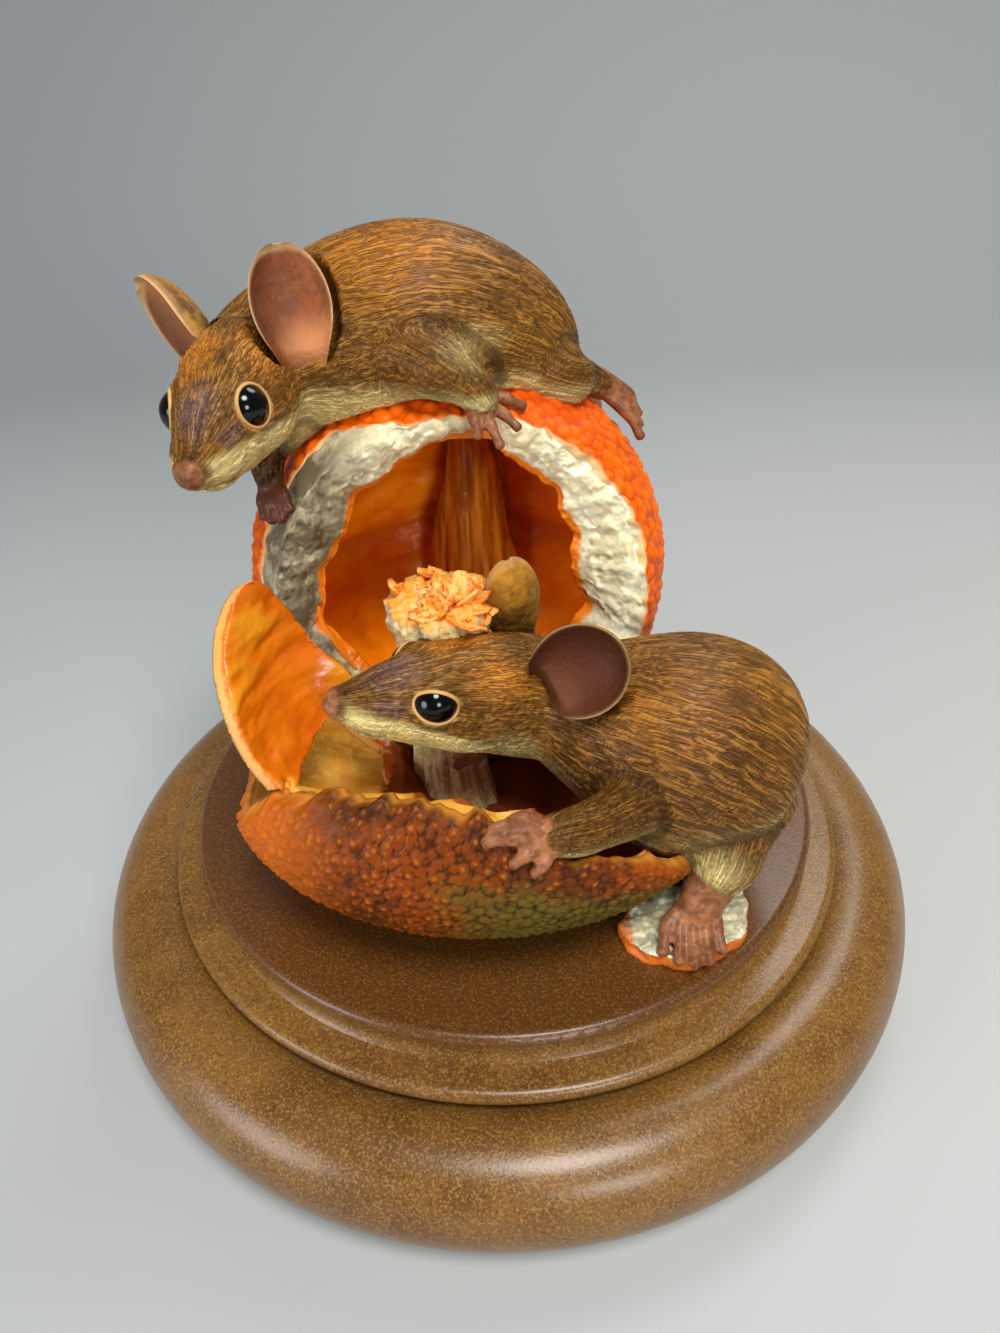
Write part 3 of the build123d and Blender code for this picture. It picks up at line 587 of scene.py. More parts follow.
rows += [lip_out * (1 - share) + lip_in * share + mouth_axis * 1.3 * math.sin(math.pi * share)
         for share in np.linspace(0, 1, BAND_ROWS)]
side_polar = 1.02 + 0.05 * np.sin(3 * angles)
lip_back = orange_ring(angles, side_polar, WALL_RADIUS - 0.7, HOLLOW_RISE)
rows += [lip_in * (1 - share) + lip_back * share - mouth_axis * 0.8 * math.sin(math.pi * share)
         for share in (0.2, 0.5, 0.8, 1.0)]
rows += cap_rows(angles, side_polar, WALL_RADIUS, np.linspace(0, 1, 8)[1:-1], HOLLOW_RISE)
rows.append(orange_ring(angles[:1], math.pi, WALL_RADIUS, HOLLOW_RISE))
pith = new_piece("orange_pith_band", *ring_grid(rows))
points = points_of(pith)
band, stain = np.zeros(len(points)), np.zeros(len(points))
band[1 + (cover_first - 1) * AROUND:1 + (band_first - 1) * AROUND] = 0.35
for row in range(BAND_ROWS):
    first = 1 + (band_first - 1 + row) * AROUND
    band[first:first + AROUND] = min(1.0, 0.35 + row / 6, (BAND_ROWS - 1 - row) / 3 + 0.4)
    stain[first:first + AROUND] = ease(row, 32, 43)
stain[1 + (band_first - 1 + BAND_ROWS) * AROUND:] = 1
mark(pith, "torn", band)
mark(pith, "stain", stain)
# A painted shadow of the upper mouse over the pith's left side.
mark(pith, "painted_shadow", ease(points[:, 0], -14, -30) * 1.3)
move_points(pith, flat_foot(points, PLINTH_TOP))
torn_pith = rough_tree()
pith_colours = pith_finish("brushed_pith", (250, 244, 212), (238, 226, 180), (176, 168, 132), (236, 124, 14))
grow(pith, torn_pith, pith_colours, lump_size=0.0045, lump_height=0.0006, layer_height=0.00042)
press_flat(pith)
hold(pith, "pith", "orange_pith")

# The orange's inner walls
# The eaten-out inside: a thin skin of orange flesh with soft folds on the walls, and the brownish
# skins between the segments hanging down the back as one pleated curtain, all glazed deep orange.


def flesh_finish(name, bright, deep, fold_highlight):
    """Glazed flesh: painted shade of deep orange in the folds, painted highlight of yellow on their backs, with brown
    streaked skins.
    """
    finish, tree = start_finish(name, 0.3, 0.25, 0.35)
    place, fold = here(tree), attribute(tree, "fold")
    streaks = noise(tree, vectors(tree, "MULTIPLY", place, (700.0, 300.0, 40.0)), 1.0, 3.0).ease(0.36, 0.64)
    base = laid(patches(tree, 0.014).mix(bright, deep),
                # Painted shade in the fold troughs and a painted highlight on the fold backs.
                (fold.ease(0.45, 0.0) * 0.6, (186, 72, 2)), (fold.ease(0.6, 1.0) * 0.7, fold_highlight),
                (attribute(tree, "brown"), streaks.mix((150, 82, 6), (214, 140, 30))),
                (attribute(tree, "olive"), patches(tree, 0.005).mix((148, 104, 20), (112, 72, 16))),
                (attribute(tree, "rim"), (240, 196, 110)))
    return painted(finish, base, noise(tree, place, 900.0, 4.0, 0.6), 0.00015)


def plate_faces(rows, columns):
    """Faces of a closed plate whose points are a front grid followed by a back grid."""
    index = np.arange(rows * columns).reshape(rows, columns)
    back = rows * columns
    quads = []
    for low, flip in ((0, False), (back, True)):
        a, b, c, d = [low + part.ravel() for part in (index[:-1, :-1], index[:-1, 1:], index[1:, 1:], index[1:, :-1])]
        quads += np.stack([a, d, c, b] if flip else [a, b, c, d], 1).tolist()
    rim = np.concatenate([index[0, :], index[1:, -1], index[-1, -2::-1], index[-2:0:-1, 0]])
    following = np.roll(rim, -1)
    return quads + np.stack([rim, back + rim, back + following, following], 1).tolist()


def fold_tree():
    """Soft folds in flesh, drawn out along one way and deepest where the piece is marked."""
    tree, given = start_tree("folded_flesh", [
        ("Fold Size", "Vector", (0.02, 0.02, 0.006)), ("Fold Height", "Float", 0.0008)])
    folds = noise(tree, vectors(tree, "DIVIDE", place_of(tree), given["Fold Size"]), 1.0, 3.0, 0.5)
    fold = folds.ease(0.3, 0.7)
    return end_relief(tree, given, (fold - 0.5) * kept_mark(tree, "folded") * given["Fold Height"], "fold", fold)


WALL_AROUND = 320
WALL_BACK = WALL_RADIUS - 0.15
wall_angles = np.linspace(0, 2 * np.pi, WALL_AROUND, endpoint=False)
wall_edge = np.radians(62.0 + ripple(wall_angles, [(5, 1.0), (9, 0.9), (17, 0.8), (29, 0.7)], 33))
rows = [orange_ring(wall_angles[:1], math.pi, WALL_BACK, HOLLOW_RISE)]
rows += cap_rows(wall_angles, wall_edge, WALL_BACK, np.linspace(1, 0, 10)[1:], HOLLOW_RISE)
rows.append(orange_ring(wall_angles, wall_edge - 0.02, (WALL_RADIUS + HOLLOW_RADIUS) / 2, HOLLOW_RISE))
rows += cap_rows(wall_angles, wall_edge, HOLLOW_RADIUS, np.linspace(0, 1, 96)[:-1], HOLLOW_RISE)
rows.append(orange_ring(wall_angles[:1], math.pi, HOLLOW_RADIUS, HOLLOW_RISE))
points, faces = ring_grid(rows)
inner_from = 1 + 10 * WALL_AROUND
inside = (np.arange(len(points)) >= inner_from) * 1.0
points[inner_from:] = flat_foot(points[inner_from:], FLESH_FLOOR)
points[:inner_from] = flat_foot(points[:inner_from], PLINTH_TOP + 0.05)
brown = inside * ease(np.abs(points[:, 0] + 3.0), 8.0, 4.0) * ease(points[:, 1], 30.0, 38.0)

CURTAIN_TOP, CURTAIN_DEPTH = 87.5, 2.4
CURTAIN_STEPS, CURTAIN_ROWS = 61, 80
spread = np.linspace(-1, 1, CURTAIN_STEPS)
curtain = []
for height in np.linspace(FLESH_FLOOR - 0.4, CURTAIN_TOP, CURTAIN_ROWS):
    drop = (CURTAIN_TOP - height) / 50.0
    pleats = np.abs(np.sin(spread * 5.2 + 0.5 + 0.4 * np.sin(height * 0.2))) * (0.2 + 1.0 * drop)
    x = -4.0 + spread * (0.7 + 10.5 * drop) + 0.3 * np.sin(height * 0.3)
    y = 42.5 - 13.0 * min(1.0, 0.55 + 0.6 * drop) * (1 - 0.42 * spread ** 2) - pleats
    curtain.append(np.stack([x, y, np.full(CURTAIN_STEPS, height)], 1))
curtain = np.concatenate(curtain)
curtain = np.concatenate([curtain, curtain + [0, CURTAIN_DEPTH, 0]])
faces += (np.array(plate_faces(CURTAIN_ROWS, CURTAIN_STEPS)) + len(points)).tolist()
walls = new_piece("orange_inner_walls", np.concatenate([points, curtain]), faces)
mark(walls, "folded", np.concatenate([inside, np.full(len(curtain), 0.3)]))
mark(walls, "brown", np.concatenate([brown, np.ones(len(curtain))]))
deep_flesh = flesh_finish("glazed_flesh", (252, 152, 14), (244, 124, 4), (255, 186, 44))
folded_flesh = fold_tree()
grow(walls, folded_flesh, deep_flesh, fold_height=0.0014, fold_size=(0.030, 0.030, 0.009))
hold(walls, "orange_flesh", "segment_walls")

# The bowl's peel
# The orange's lower half of peel, pulled down and forward as a bowl, cast with coarser pebbles and
# brushed orange-brown, turning olive green at the right. Its rim is torn and leans on the orange.
BOWL = np.array([-2.6, -18.8, 46.9])
BOWL_HALF = np.array([38.0, 28.2, 20.5])
BOWL_TURN = math.radians(-2.0)
BOWL_SKIN = 2.6
# The torn rim's line as shares of the bowl's 76 mm length and 41 mm height
RIM_LINE = np.array([(-0.60, -0.36), (-0.49, -0.14), (-0.42, 0.06), (-0.37, 0.19), (-0.26, 0.26), (-0.14, 0.28),
                     (-0.05, 0.28), (0.00, 0.265), (0.04, 0.20), (0.08, 0.16), (0.19, 0.095), (0.275, 0.055),
                     (0.36, -0.13), (0.40, -0.36), (0.60, -0.70)])
rim_along, rim_height = RIM_LINE[:, 0] * 76, RIM_LINE[:, 1] * 41
BOWL_AROUND = 700
bowl_angles = np.linspace(0, 2 * np.pi, BOWL_AROUND, endpoint=False)


def bowl_point(bearing, sine, inset):
    """A point on the bowl's form: a bearing round it and the sine of its height, drawn in by the inset."""
    half = BOWL_HALF - inset
    level = np.sqrt(np.maximum(1 - sine ** 2, 0))
    x, y = half[0] * level * np.cos(bearing), half[1] * level * np.sin(bearing)
    turned = np.stack([x * math.cos(BOWL_TURN) - y * math.sin(BOWL_TURN),
                       x * math.sin(BOWL_TURN) + y * math.cos(BOWL_TURN), half[2] * sine], -1)
    return BOWL + turned


def bowl_rim(inset, drop, jag):
    """The sine of the rim's height for each bearing, where the torn line crosses the form."""
    sine = np.zeros(BOWL_AROUND)
    for _ in range(40):
        across = bowl_point(bowl_angles, sine, inset)[:, 0] - BOWL[0]
        wanted = (np.interp(across, rim_along, rim_height) - drop + jag) / (BOWL_HALF[2] - inset)
        sine = sine * 0.7 + np.clip(wanted, -0.9, 0.9) * 0.3
    return sine


def bowl_rows(rim, inset, shares):
    """Rings up the bowl's form, from its foot at a share of 0 to its rim at 1."""
    return [bowl_point(bowl_angles, np.sin(-math.pi / 2 + (np.arcsin(rim) + math.pi / 2) * share), inset)
            for share in shares]


def press_out(points, centre, radius):
    """Push what lies inside a ball out to its surface."""
    away = points - centre
    distance = np.linalg.norm(away, axis=1)[:, None]
    return np.where(distance < radius, centre + away / distance * radius, points)


OUTER_ROWS = 111
jag = ripple(bowl_angles, [(9, 0.3), (17, 0.35), (29, 0.35), (47, 0.3), (83, 0.2)], 44)
rim_out = bowl_rim(0.0, 0.0, jag)
rows = [np.array([BOWL + [0, 0, -BOWL_HALF[2] * 0.985]])]
rows += bowl_rows(rim_out, 0.0, np.linspace(0, 1, 1 + OUTER_ROWS)[1:])
for share in (0.3, 0.65, 1.0):
    edge = bowl_rim(BOWL_SKIN * share, 0.9 * share, jag * (1 - 0.5 * share))
    rows.append(bowl_point(bowl_angles, edge, BOWL_SKIN * share) + [0, 0, 0.25 * math.sin(math.pi * share)])
rim_in = bowl_rim(BOWL_SKIN, 0.9, jag * 0.5)
rows += bowl_rows(rim_in, BOWL_SKIN, np.linspace(1, 0, 24)[1:-1])
rows.append(np.array([BOWL + [0, 0, -(BOWL_HALF[2] - BOWL_SKIN)]]))
bowl = new_piece("bowl_peel_skin", *ring_grid(rows))
points = flat_foot(press_out(points_of(bowl), ORANGE, ORANGE_RADIUS + 0.1), PLINTH_TOP)
move_points(bowl, points)
skin = np.zeros(len(points))
skin[:1 + OUTER_ROWS * BOWL_AROUND] = 1
for step, share in ((0, 0.85), (1, 0.4)):
    first = 1 + (OUTER_ROWS + step) * BOWL_AROUND
    skin[first:first + BOWL_AROUND] = share
skin *= 1 - ease(points[:, 0] + 0.25 * (points[:, 2] - 45), 31.5, 34.0)
mark(bowl, "skin", skin)
mark(bowl, "belly_shadow", np.zeros(len(points)))
olive = ease(points[:, 0], -20.0, 4.0) * ease(points[:, 2] + 0.35 * points[:, 0], 55.0, 46.0)
# Painted light: the bowl's left end, and its right where it is not olive, are painted brighter.
sun = np.maximum(ease(points[:, 0], -18.0, -35.0), 0.5 * ease(points[:, 0], 12.0, 26.0) * (1 - olive))
mark(bowl, "sun", sun)
mark(bowl, "green", np.maximum(olive, ease(points[:, 2], 38.0, 29.0) * 0.55))
bowl_colours = peel_finish("browned_peel", (128, 54, 0), (78, 34, 0), (30, 14, 0), (214, 142, 54))
grow(bowl, pebbles, bowl_colours, pebble_size=0.0012, pebble_height=0.00034, seed=7.0)
press_flat(bowl)
hold(bowl, "orange_peel", "peel_bowl")

# The bowl's lining
# Pith and pulp left in the bowl: a yellowish torn floor at the left, scooped out to a dark orange
# hollow at the right, where the front mouse eats.
SCOOP_HALF = np.array([22.0, 23.2, 15.5])
SCOOP = BOWL + [8.0, 0.0, 0.0]


def scoop_ring(level, sine):
    """A ring of the scooped hollow: how wide it is there, and the sine of its height."""
    ways = np.stack([level * np.cos(bowl_angles) * wobble, level * np.sin(bowl_angles) * wobble, sine], -1)
    return SCOOP + SCOOP_HALF * ways


wobble = 1 + ripple(bowl_angles, [(5, 0.02), (11, 0.02), (23, 0.015)], 57)
rim_lining = bowl_rim(BOWL_SKIN, 1.2, ripple(bowl_angles, [(7, 0.3), (15, 0.3)], 51))
rows = [np.array([BOWL + [0, 0, -(BOWL_HALF[2] - BOWL_SKIN - 0.1)]])]
rows += bowl_rows(rim_lining, BOWL_SKIN + 0.05, np.linspace(0, 1, 20)[1:])
lip = rows[-1]
scoop_sine = np.clip((lip[:, 2] - 2.4 - SCOOP[2]) / SCOOP_HALF[2], -0.6, 0.55)
scoop_lip = scoop_ring(np.sqrt(1 - scoop_sine ** 2), scoop_sine)
for share in np.linspace(0, 1, 30)[1:]:
    dip = -math.sin(math.pi * share) * 0.9
    rows.append(lip * (1 - share) + scoop_lip * share + np.array([0, 0, dip]))
top_rows = len(rows)
for share in np.linspace(1, 0, 40)[1:-1]:
    polar = -math.pi / 2 + (np.arcsin(scoop_sine) + math.pi / 2) * share
    rows.append(scoop_ring(np.cos(polar), np.sin(polar)))
rows.append(np.array([SCOOP + [0, 0, -SCOOP_HALF[2]]]))
lining = new_piece("bowl_pith_lining", *ring_grid(rows))
points = press_out(points_of(lining), ORANGE, ORANGE_RADIUS + 0.05)
move_points(lining, points)
torn_top, scooped = np.zeros(len(points)), np.zeros(len(points))
for row in range(19, top_rows):
    first = 1 + (row - 1) * BOWL_AROUND
    torn_top[first:first + BOWL_AROUND] = 1
    scooped[first:first + BOWL_AROUND] = ease(row, top_rows - 9, top_rows + 2)
scooped[1 + (top_rows - 1) * BOWL_AROUND:] = 1
torn_top[1 + (top_rows - 1) * BOWL_AROUND:] = 0.6
mark(lining, "torn", torn_top)
mark(lining, "stain", scooped * 1.3)
# Painted shadow, growing towards the bowl's right.
mark(lining, "painted_shadow", ease(points[:, 0], 4, 22) * 0.3)
lining_colours = pith_finish("bowl_pith", (238, 184, 72), (234, 156, 40), (196, 128, 40), (140, 62, 8))
grow(lining, torn_pith, lining_colours, lump_size=0.007, lump_height=0.0006, layer_height=0.0)
hold(lining, "pith", "bowl_lining")

# The torn core
# The orange's core, left standing in the bowl: a column of cream pith with ribs down its side and a
# crown of torn orange shreds, cast as one lump and dry-brushed.
CORE_FOOT = np.array([-8.2, -11.0, 32.0])
CORE_TALL, CORE_RADIUS, CORE_WAIST = 38.2, 7.0, 2.2
core_angles = np.linspace(0, 2 * np.pi, 160, endpoint=False)


def core_ribs(turn):
    return ripple(core_angles + turn, [(7, 0.35), (13, 0.3), (29, 0.18)], 61)


def core_ring(bearings, radius, height):
    """A ring round the core's line, at a height above its foot."""
    heights = np.broadcast_to(height, bearings.shape)
    return CORE_FOOT + np.stack([radius * np.cos(bearings), radius * np.sin(bearings), heights], -1)


rows = [np.array([CORE_FOOT])]
for share in np.linspace(0, 1, 90):
    radius = CORE_RADIUS - CORE_WAIST * math.sin(math.pi * min(1.0, share * 1.05)) + core_ribs(share * 0.5)
    rows.append(core_ring(core_angles, radius, share * CORE_TALL))
for share in np.linspace(1, 0, 24)[1:-1]:
    rise = 1.8 * math.cos(share * math.pi / 2) + ripple(core_angles + share * 3, [(5, 0.5), (9, 0.5)], 64) * (1 - share)
    rows.append(core_ring(core_angles, (CORE_RADIUS + core_ribs(0)) * share, CORE_TALL + rise))
rows.append(np.array([CORE_FOOT + [0, 0, CORE_TALL + 1.8]]))
core = new_piece("core_column", *ring_grid(rows))
heights = points_of(core)[:, 2]
mark(core, "torn", ease(heights, 44, 50))
mark(core, "stain", ease(heights, CORE_FOOT[2] + CORE_TALL - 3.0, CORE_FOOT[2] + CORE_TALL + 0.5) * 0.6)
core_colours = pith_finish("core_pith", (238, 228, 184), (216, 196, 130), (160, 142, 92), (240, 158, 50))
grow(core, torn_pith, core_colours, lump_size=0.0035, lump_height=0.0009, layer_height=0.0004)
hold(core, "pith", "core_stump")


def shred_tree():
    """Torn shreds on the core's crown: bent flakes of flesh, scattered and standing at all angles."""
    tree, given = start_tree("torn_shreds", [
        ("Density", "Float", 300000.0), ("Shred Size", "Float", 0.0036), ("Seed", "Int", 5)])
    seed = given["Seed"]
    spots = value(tree, "GeometryNodeDistributePointsOnFaces", {
        "Mesh": given["Geometry"], "Density": given["Density"], "Seed": seed})
    flake = value(tree, "GeometryNodeMeshCube", {
        "Size": (0.8, 1.0, 0.07), "Vertices X": 7, "Vertices Y": 8, "Vertices Z": 2})
    place = place_of(tree)
    across, along = [value(tree, "ShaderNodeSeparateXYZ", {0: place}, axis).math("POWER", 2.0) for axis in (0, 1)]
    bend = value(tree, "ShaderNodeCombineXYZ", {0: -0.35, 1: -0.35, 2: along.scaled_onto(0.45, across * -0.6)})
    dent = value(tree, "ShaderNodeTexNoise", {"Vector": place, "Scale": 1.6, "Detail": 1.0}, 1)
    push = vectors(tree, "MULTIPLY_ADD", dent, (0.7, 0.7, 0.2), bend)
    shreds = value(tree, "GeometryNodeInstanceOnPoints", {
        "Points": spots, "Instance": value(tree, "GeometryNodeSetPosition", {"Geometry": flake, "Offset": push}),
        "Rotation": chance(tree, (-0.9, -0.9, 0.0), (0.9, 0.9, 6.2), seed),
        "Scale": scaled(tree, chance(tree, (0.45, 0.5, 0.6), (0.9, 1.15, 1.2), seed), given["Shred Size"])})
    return end_tree(tree, given, shreds)


def shred_finish():
    finish, tree = start_finish("orange_shreds", 0.5, 0.0, 0.2)
    base = laid(patches(tree, 0.0024, 0.06).mix((240, 142, 34), (222, 98, 4)),
                (patches(tree, 0.0016, 0.06) * 0.6, (250, 206, 122)))
    return painted(finish, base, noise(tree, here(tree), 1800.0, 3.0), 0.0001)


rows = [core_ring(core_angles[::8], radius, CORE_TALL + rise)
        for radius, rise in ((5.6, -0.4), (4.8, 0.2), (3.6, 0.7), (2.0, 1.1))]
rows.append(np.array([CORE_FOOT + [0, 0, CORE_TALL + 1.3]]))
crown = new_piece("core_torn_shreds", *ring_grid(rows))
grow(crown, shred_tree(), shred_finish(), density=90000.0, shred_size=0.0078, seed=8)
hold(crown, "orange_flesh")


# The standing petal of peel
# A flap of peel that stands at the bowl's left end, hollow side to the viewer, with soft level folds
# in its flesh, a whitish torn edge and an olive-brown back.
def copies_of(names):
    """Merged copies of CAD nodes in one new mesh."""
    body = bmesh.new()
    for name in names:
        one = bmesh.new()
        one.from_mesh(nodes[name].data)
        bmesh.ops.remove_doubles(one, verts=one.verts, dist=0.000002)
        welded = bpy.data.meshes.new(name)
        one.to_mesh(welded)
        one.free()
        body.from_mesh(welded)
        bpy.data.meshes.remove(welded)
    return body


def clay(name, body, grain, rounds, doubled=False):
    """Weld overlapping forms into one skin, as modelling clay, and smooth it: grain in millimetres."""
    mesh = bpy.data.meshes.new(name)
    body.to_mesh(mesh)
    body.free()
    piece = bpy.data.objects.new(name, mesh)
    bpy.context.scene.collection.objects.link(piece)
    weld = piece.modifiers.new("weld", "REMESH")
    weld.mode = "VOXEL"
    weld.voxel_size = grain * MM
    smooth = piece.modifiers.new("smooth", "SMOOTH")
    smooth.factor = 0.5
    smooth.iterations = rounds
    if doubled:
        finer = piece.modifiers.new("finer", "SUBSURF")
        finer.levels = finer.render_levels = 1
    return settle(piece)


PETAL_TURN, PETAL_LEAN = math.radians(-22.0), math.radians(25.0)
petal_normal = np.array([math.cos(PETAL_TURN) * math.cos(PETAL_LEAN), math.sin(PETAL_TURN) * math.cos(PETAL_LEAN),
                         math.sin(PETAL_LEAN)])
PETAL = np.array([-32.5, -18.5, 62.0])
petal = clay("peel_petal_flesh", copies_of(["peel_petal"]), 0.42, 3)
points = points_of(petal)
petal_wide = np.array([-petal_normal[1], petal_normal[0], 0]) / math.hypot(petal_normal[0], petal_normal[1])
petal_tall = np.cross(petal_normal, petal_wide)
far_side, rise = (points - PETAL) @ petal_wide, (points - PETAL) @ petal_tall
points -= np.outer(np.maximum(far_side, 0) * 0.5 * ease(rise, 14, -10), petal_wide)
move_points(petal, points)
facing = normals_of(petal) @ petal_normal
mark(petal, "folded", ease(facing, 0.2, 0.8))
mark(petal, "olive", np.maximum(ease(facing, 0.1, -0.5), ease(points[:, 2], 79, 84) * 0.7))
mark(petal, "rim", ease(np.abs(facing), 0.35, 0.1) * 0.6)
petal_colours = flesh_finish("petal_flesh", (212, 110, 4), (190, 86, 0), (236, 156, 26))
grow(petal, folded_flesh, petal_colours, fold_height=0.0016, fold_size=(0.022, 0.022, 0.0075))
hold(petal, "orange_flesh", "peel_petal")

# The scrap of peel under the foot
# A torn scrap of peel that lies on the plinth under the front mouse's foot: white pith on top with
# dark specks, orange round its edge.
scrap = clay("foot_scrap_peel", copies_of(["foot_scrap"]), 0.3, 3)
points, normals = points_of(scrap), normals_of(scrap)
middle = points.mean(0)
bearing = np.arctan2(points[:, 1] - middle[1], points[:, 0] - middle[0])
tongue = 0.12 * np.exp(-((bearing - 0.75) / 0.3) ** 2)
reach = 0.94 + tongue + ripple(bearing, [(3, 0.02), (5, 0.03), (9, 0.02), (17, 0.012)], 71)
points[:, :2] = middle[:2] + (points[:, :2] - middle[:2]) * reach[:, None]
move_points(scrap, points)
mark(scrap, "torn", ease(points[:, 2], 27.3, 28.4))
mark(scrap, "painted_shadow", np.zeros(len(points)))
mark(scrap, "stain", np.maximum(ease(normals[:, 2], 0.75, 0.2), ease(points[:, 0], 20.0, 16.5) * 0.6))
scrap_colours = pith_finish("scrap_pith", (232, 228, 200), (206, 196, 152), (92, 88, 66), (206, 104, 24))
grow(scrap, torn_pith, scrap_colours, lump_size=0.0035, lump_height=0.0004, layer_height=0.0003)
press_flat(scrap)
hold(scrap, "pith", "foot_scrap")

# Both mice's coats
# Each mouse is one resin cast, its fur combed into the clay as fine wavy strokes that run from nose to
# rump. It is painted brown with gold patches, cream below and bare pink-brown nose and paws, with
# painted shade in the grooves and a painted highlight on the locks.


def tube(path, widths, sides=14, per=6):
    """Points and faces of a round-ended tube through its places, in millimetres."""
    path, widths = np.asarray(path, float), np.asarray(widths, float)
    ends = np.concatenate([[2 * path[0] - path[1]], path, [2 * path[-1] - path[-2]]])
    line, radii = [], []
    for index in range(len(path) - 1):
        a, b, c, d = ends[index:index + 4]
        for share in np.linspace(0, 1, per, endpoint=False):
            line.append(0.5 * (2 * b + (c - a) * share + (2 * a - 5 * b + 4 * c - d) * share ** 2
                               + (3 * b - a - 3 * c + d) * share ** 3))
            radii.append(widths[index] + (widths[index + 1] - widths[index]) * (share * share * (3 - 2 * share)))
    line.append(path[-1])
    radii.append(widths[-1])
    line, radii = np.array(line), np.array(radii)
    heading = np.gradient(line, axis=0)
    heading /= np.linalg.norm(heading, axis=1)[:, None]
    side = np.cross(heading[0], [0.3, 0.2, 1.0])
    turns = np.linspace(0, 2 * np.pi, sides, endpoint=False)
    rings = []
    for spot, way, radius in zip(line, heading, radii):
        side = side - way * (side @ way)
        side /= np.linalg.norm(side)
        other = np.cross(way, side)
        rings.append((spot, way, side, other, radius))

    def ring(place, shrink, shift):
        spot, way, across, other, radius = rings[place]
        around = np.cos(turns)[:, None] * across + np.sin(turns)[:, None] * other
        return spot + way * shift * radius + radius * shrink * around

    rows = [np.array([rings[0][0] - rings[0][1] * rings[0][4]])]
    rows += [ring(0, math.cos(angle), -math.sin(angle)) for angle in (1.1, 0.55)]
    rows += [ring(place, 1.0, 0.0) for place in range(len(rings))]
    rows += [ring(-1, math.cos(angle), math.sin(angle)) for angle in (0.55, 1.1)]
    rows.append(np.array([rings[-1][0] + rings[-1][1] * rings[-1][4]]))
    return ring_grid(rows)


def add_tubes(body, tubes):
    """Add tubes, each a path and its widths, to a mesh in the making."""
    for path, widths in tubes:
        points, faces = tube(path, widths)
        mesh = bpy.data.meshes.new("tube")
        mesh.from_pydata((points * MM).tolist(), [], faces)
        body.from_mesh(mesh)
        bpy.data.meshes.remove(mesh)
    return body


def finger(base, knuckle, tip, width):
    """A finger's path and widths: swollen at the knuckle and the pad, pointed at the claw."""
    base, knuckle, tip = [np.array(point, float) for point in (base, knuckle, tip)]
    mid = knuckle * 0.45 + tip * 0.55
    claw = tip + (tip - mid) * 0.28
    return [base, knuckle, mid, tip, claw], [width * 0.95, width * 1.12, width * 0.82, width * 0.95, width * 0.3]


def head_frame(nose, turn_degrees, dip_degrees, roll_degrees):
    """A head's own frame: the nose tip, the way back, the mouse's right and up."""
    turned, dip, roll = [math.radians(value) for value in (turn_degrees, dip_degrees, roll_degrees)]
    facing = np.array([math.sin(turned) * math.cos(dip), -math.cos(turned) * math.cos(dip), -math.sin(dip)])
    side = np.cross(facing, [0, 0, 1.0])
    side /= np.linalg.norm(side)
    upright = np.cross(side, facing)
    right = side * math.cos(roll) + upright * math.sin(roll)
    return np.array(nose), -facing, right, np.cross(-facing, right)


def head_places(head, points):
    """Points as (back, out, up) in a head."""
    away = points - head[0]
    return np.stack([away @ head[1], away @ head[2], away @ head[3]], 1)


EYE_BACK, EYE_OUT, EYE_UP, EYE_RADIUS = 13.09, 4.22, 2.99, 3.05
# Brushes that model a head: place, reach and push, with both sides alike
head_brushes = [((0.6, 0.0, 0.2), 3.2, 0.75), ((0.3, 1.15, 0.3), 0.8, -0.5), ((4.2, 0.0, 2.8), 2.6, -0.30),
                ((6.0, 2.4, -1.2), 4.4, 0.95), ((3.2, 0.0, -3.2), 3.0, 0.5), ((7.5, 0.0, 3.4), 4.5, 0.5),
                ((9.6, 4.4, 2.0), 2.4, -0.45), ((13.5, 4.4, 7.6), 3.2, 0.5), ((13.0, 0.0, 7.2), 3.6, -0.25),
                ((18.0, 7.0, -2.5), 6.5, 0.8), ((10.5, 4.6, -2.6), 4.5, 0.4), ((22.0, 6.5, 6.0), 4.0, 0.4),
                ((24.0, 0.0, 8.8), 5.0, 0.4), ((7.5, 0.0, -4.6), 5.0, 1.2), ((13.0, 0.0, -6.4), 6.5, 1.1)]
LID_HALF, LID_STEPS = 0.26, 72
EAR_WALL, EAR_BEHIND = 1.5, -5.0
HEAD_LONG, MOUSE_LONG = 34, 80
mouth_line = np.array([(1.4, 0.0, -2.3), (2.6, 1.6, -2.7), (4.6, 2.9, -3.0), (7.0, 4.1, -3.1), (9.6, 5.2, -2.9)])


def soft_spot(points, centre, reach):
    """1 at a centre, falling smoothly to 0 at its reach."""
    distance = np.linalg.norm((points - np.asarray(centre)) / np.asarray(reach), axis=1)
    return np.where(distance < 1, (1 - distance ** 2) ** 2, 0)


def line_distance(points, line):
    """How far each point lies from a broken line."""
    best = np.full(len(points), 1e9)
    for start, stop in zip(line[:-1], line[1:]):
        way = stop - start
        share = np.clip((points - start) @ way / (way @ way), 0, 1)
        best = np.minimum(best, np.linalg.norm(points - start - share[:, None] * way, axis=1))
    return best


def lid_opening(bearing, lid_angles):
    """How far round its bead an eye is open, at a bearing, from its lids' angles along and up."""
    along, up = np.radians(lid_angles)
    return 1 / np.hypot(np.cos(bearing) / along, np.sin(bearing) / up)


def eye_axes(side):
    """An eye's own axes in its head: the way it looks, back along it and up it."""
    look = np.array([-0.40, side, 0.30])
    look /= np.linalg.norm(look)
    high = np.array([0.0, 0.0, 1.0]) - look * look[2]
    high /= np.linalg.norm(high)
    return look, np.cross(high, look) * side, high


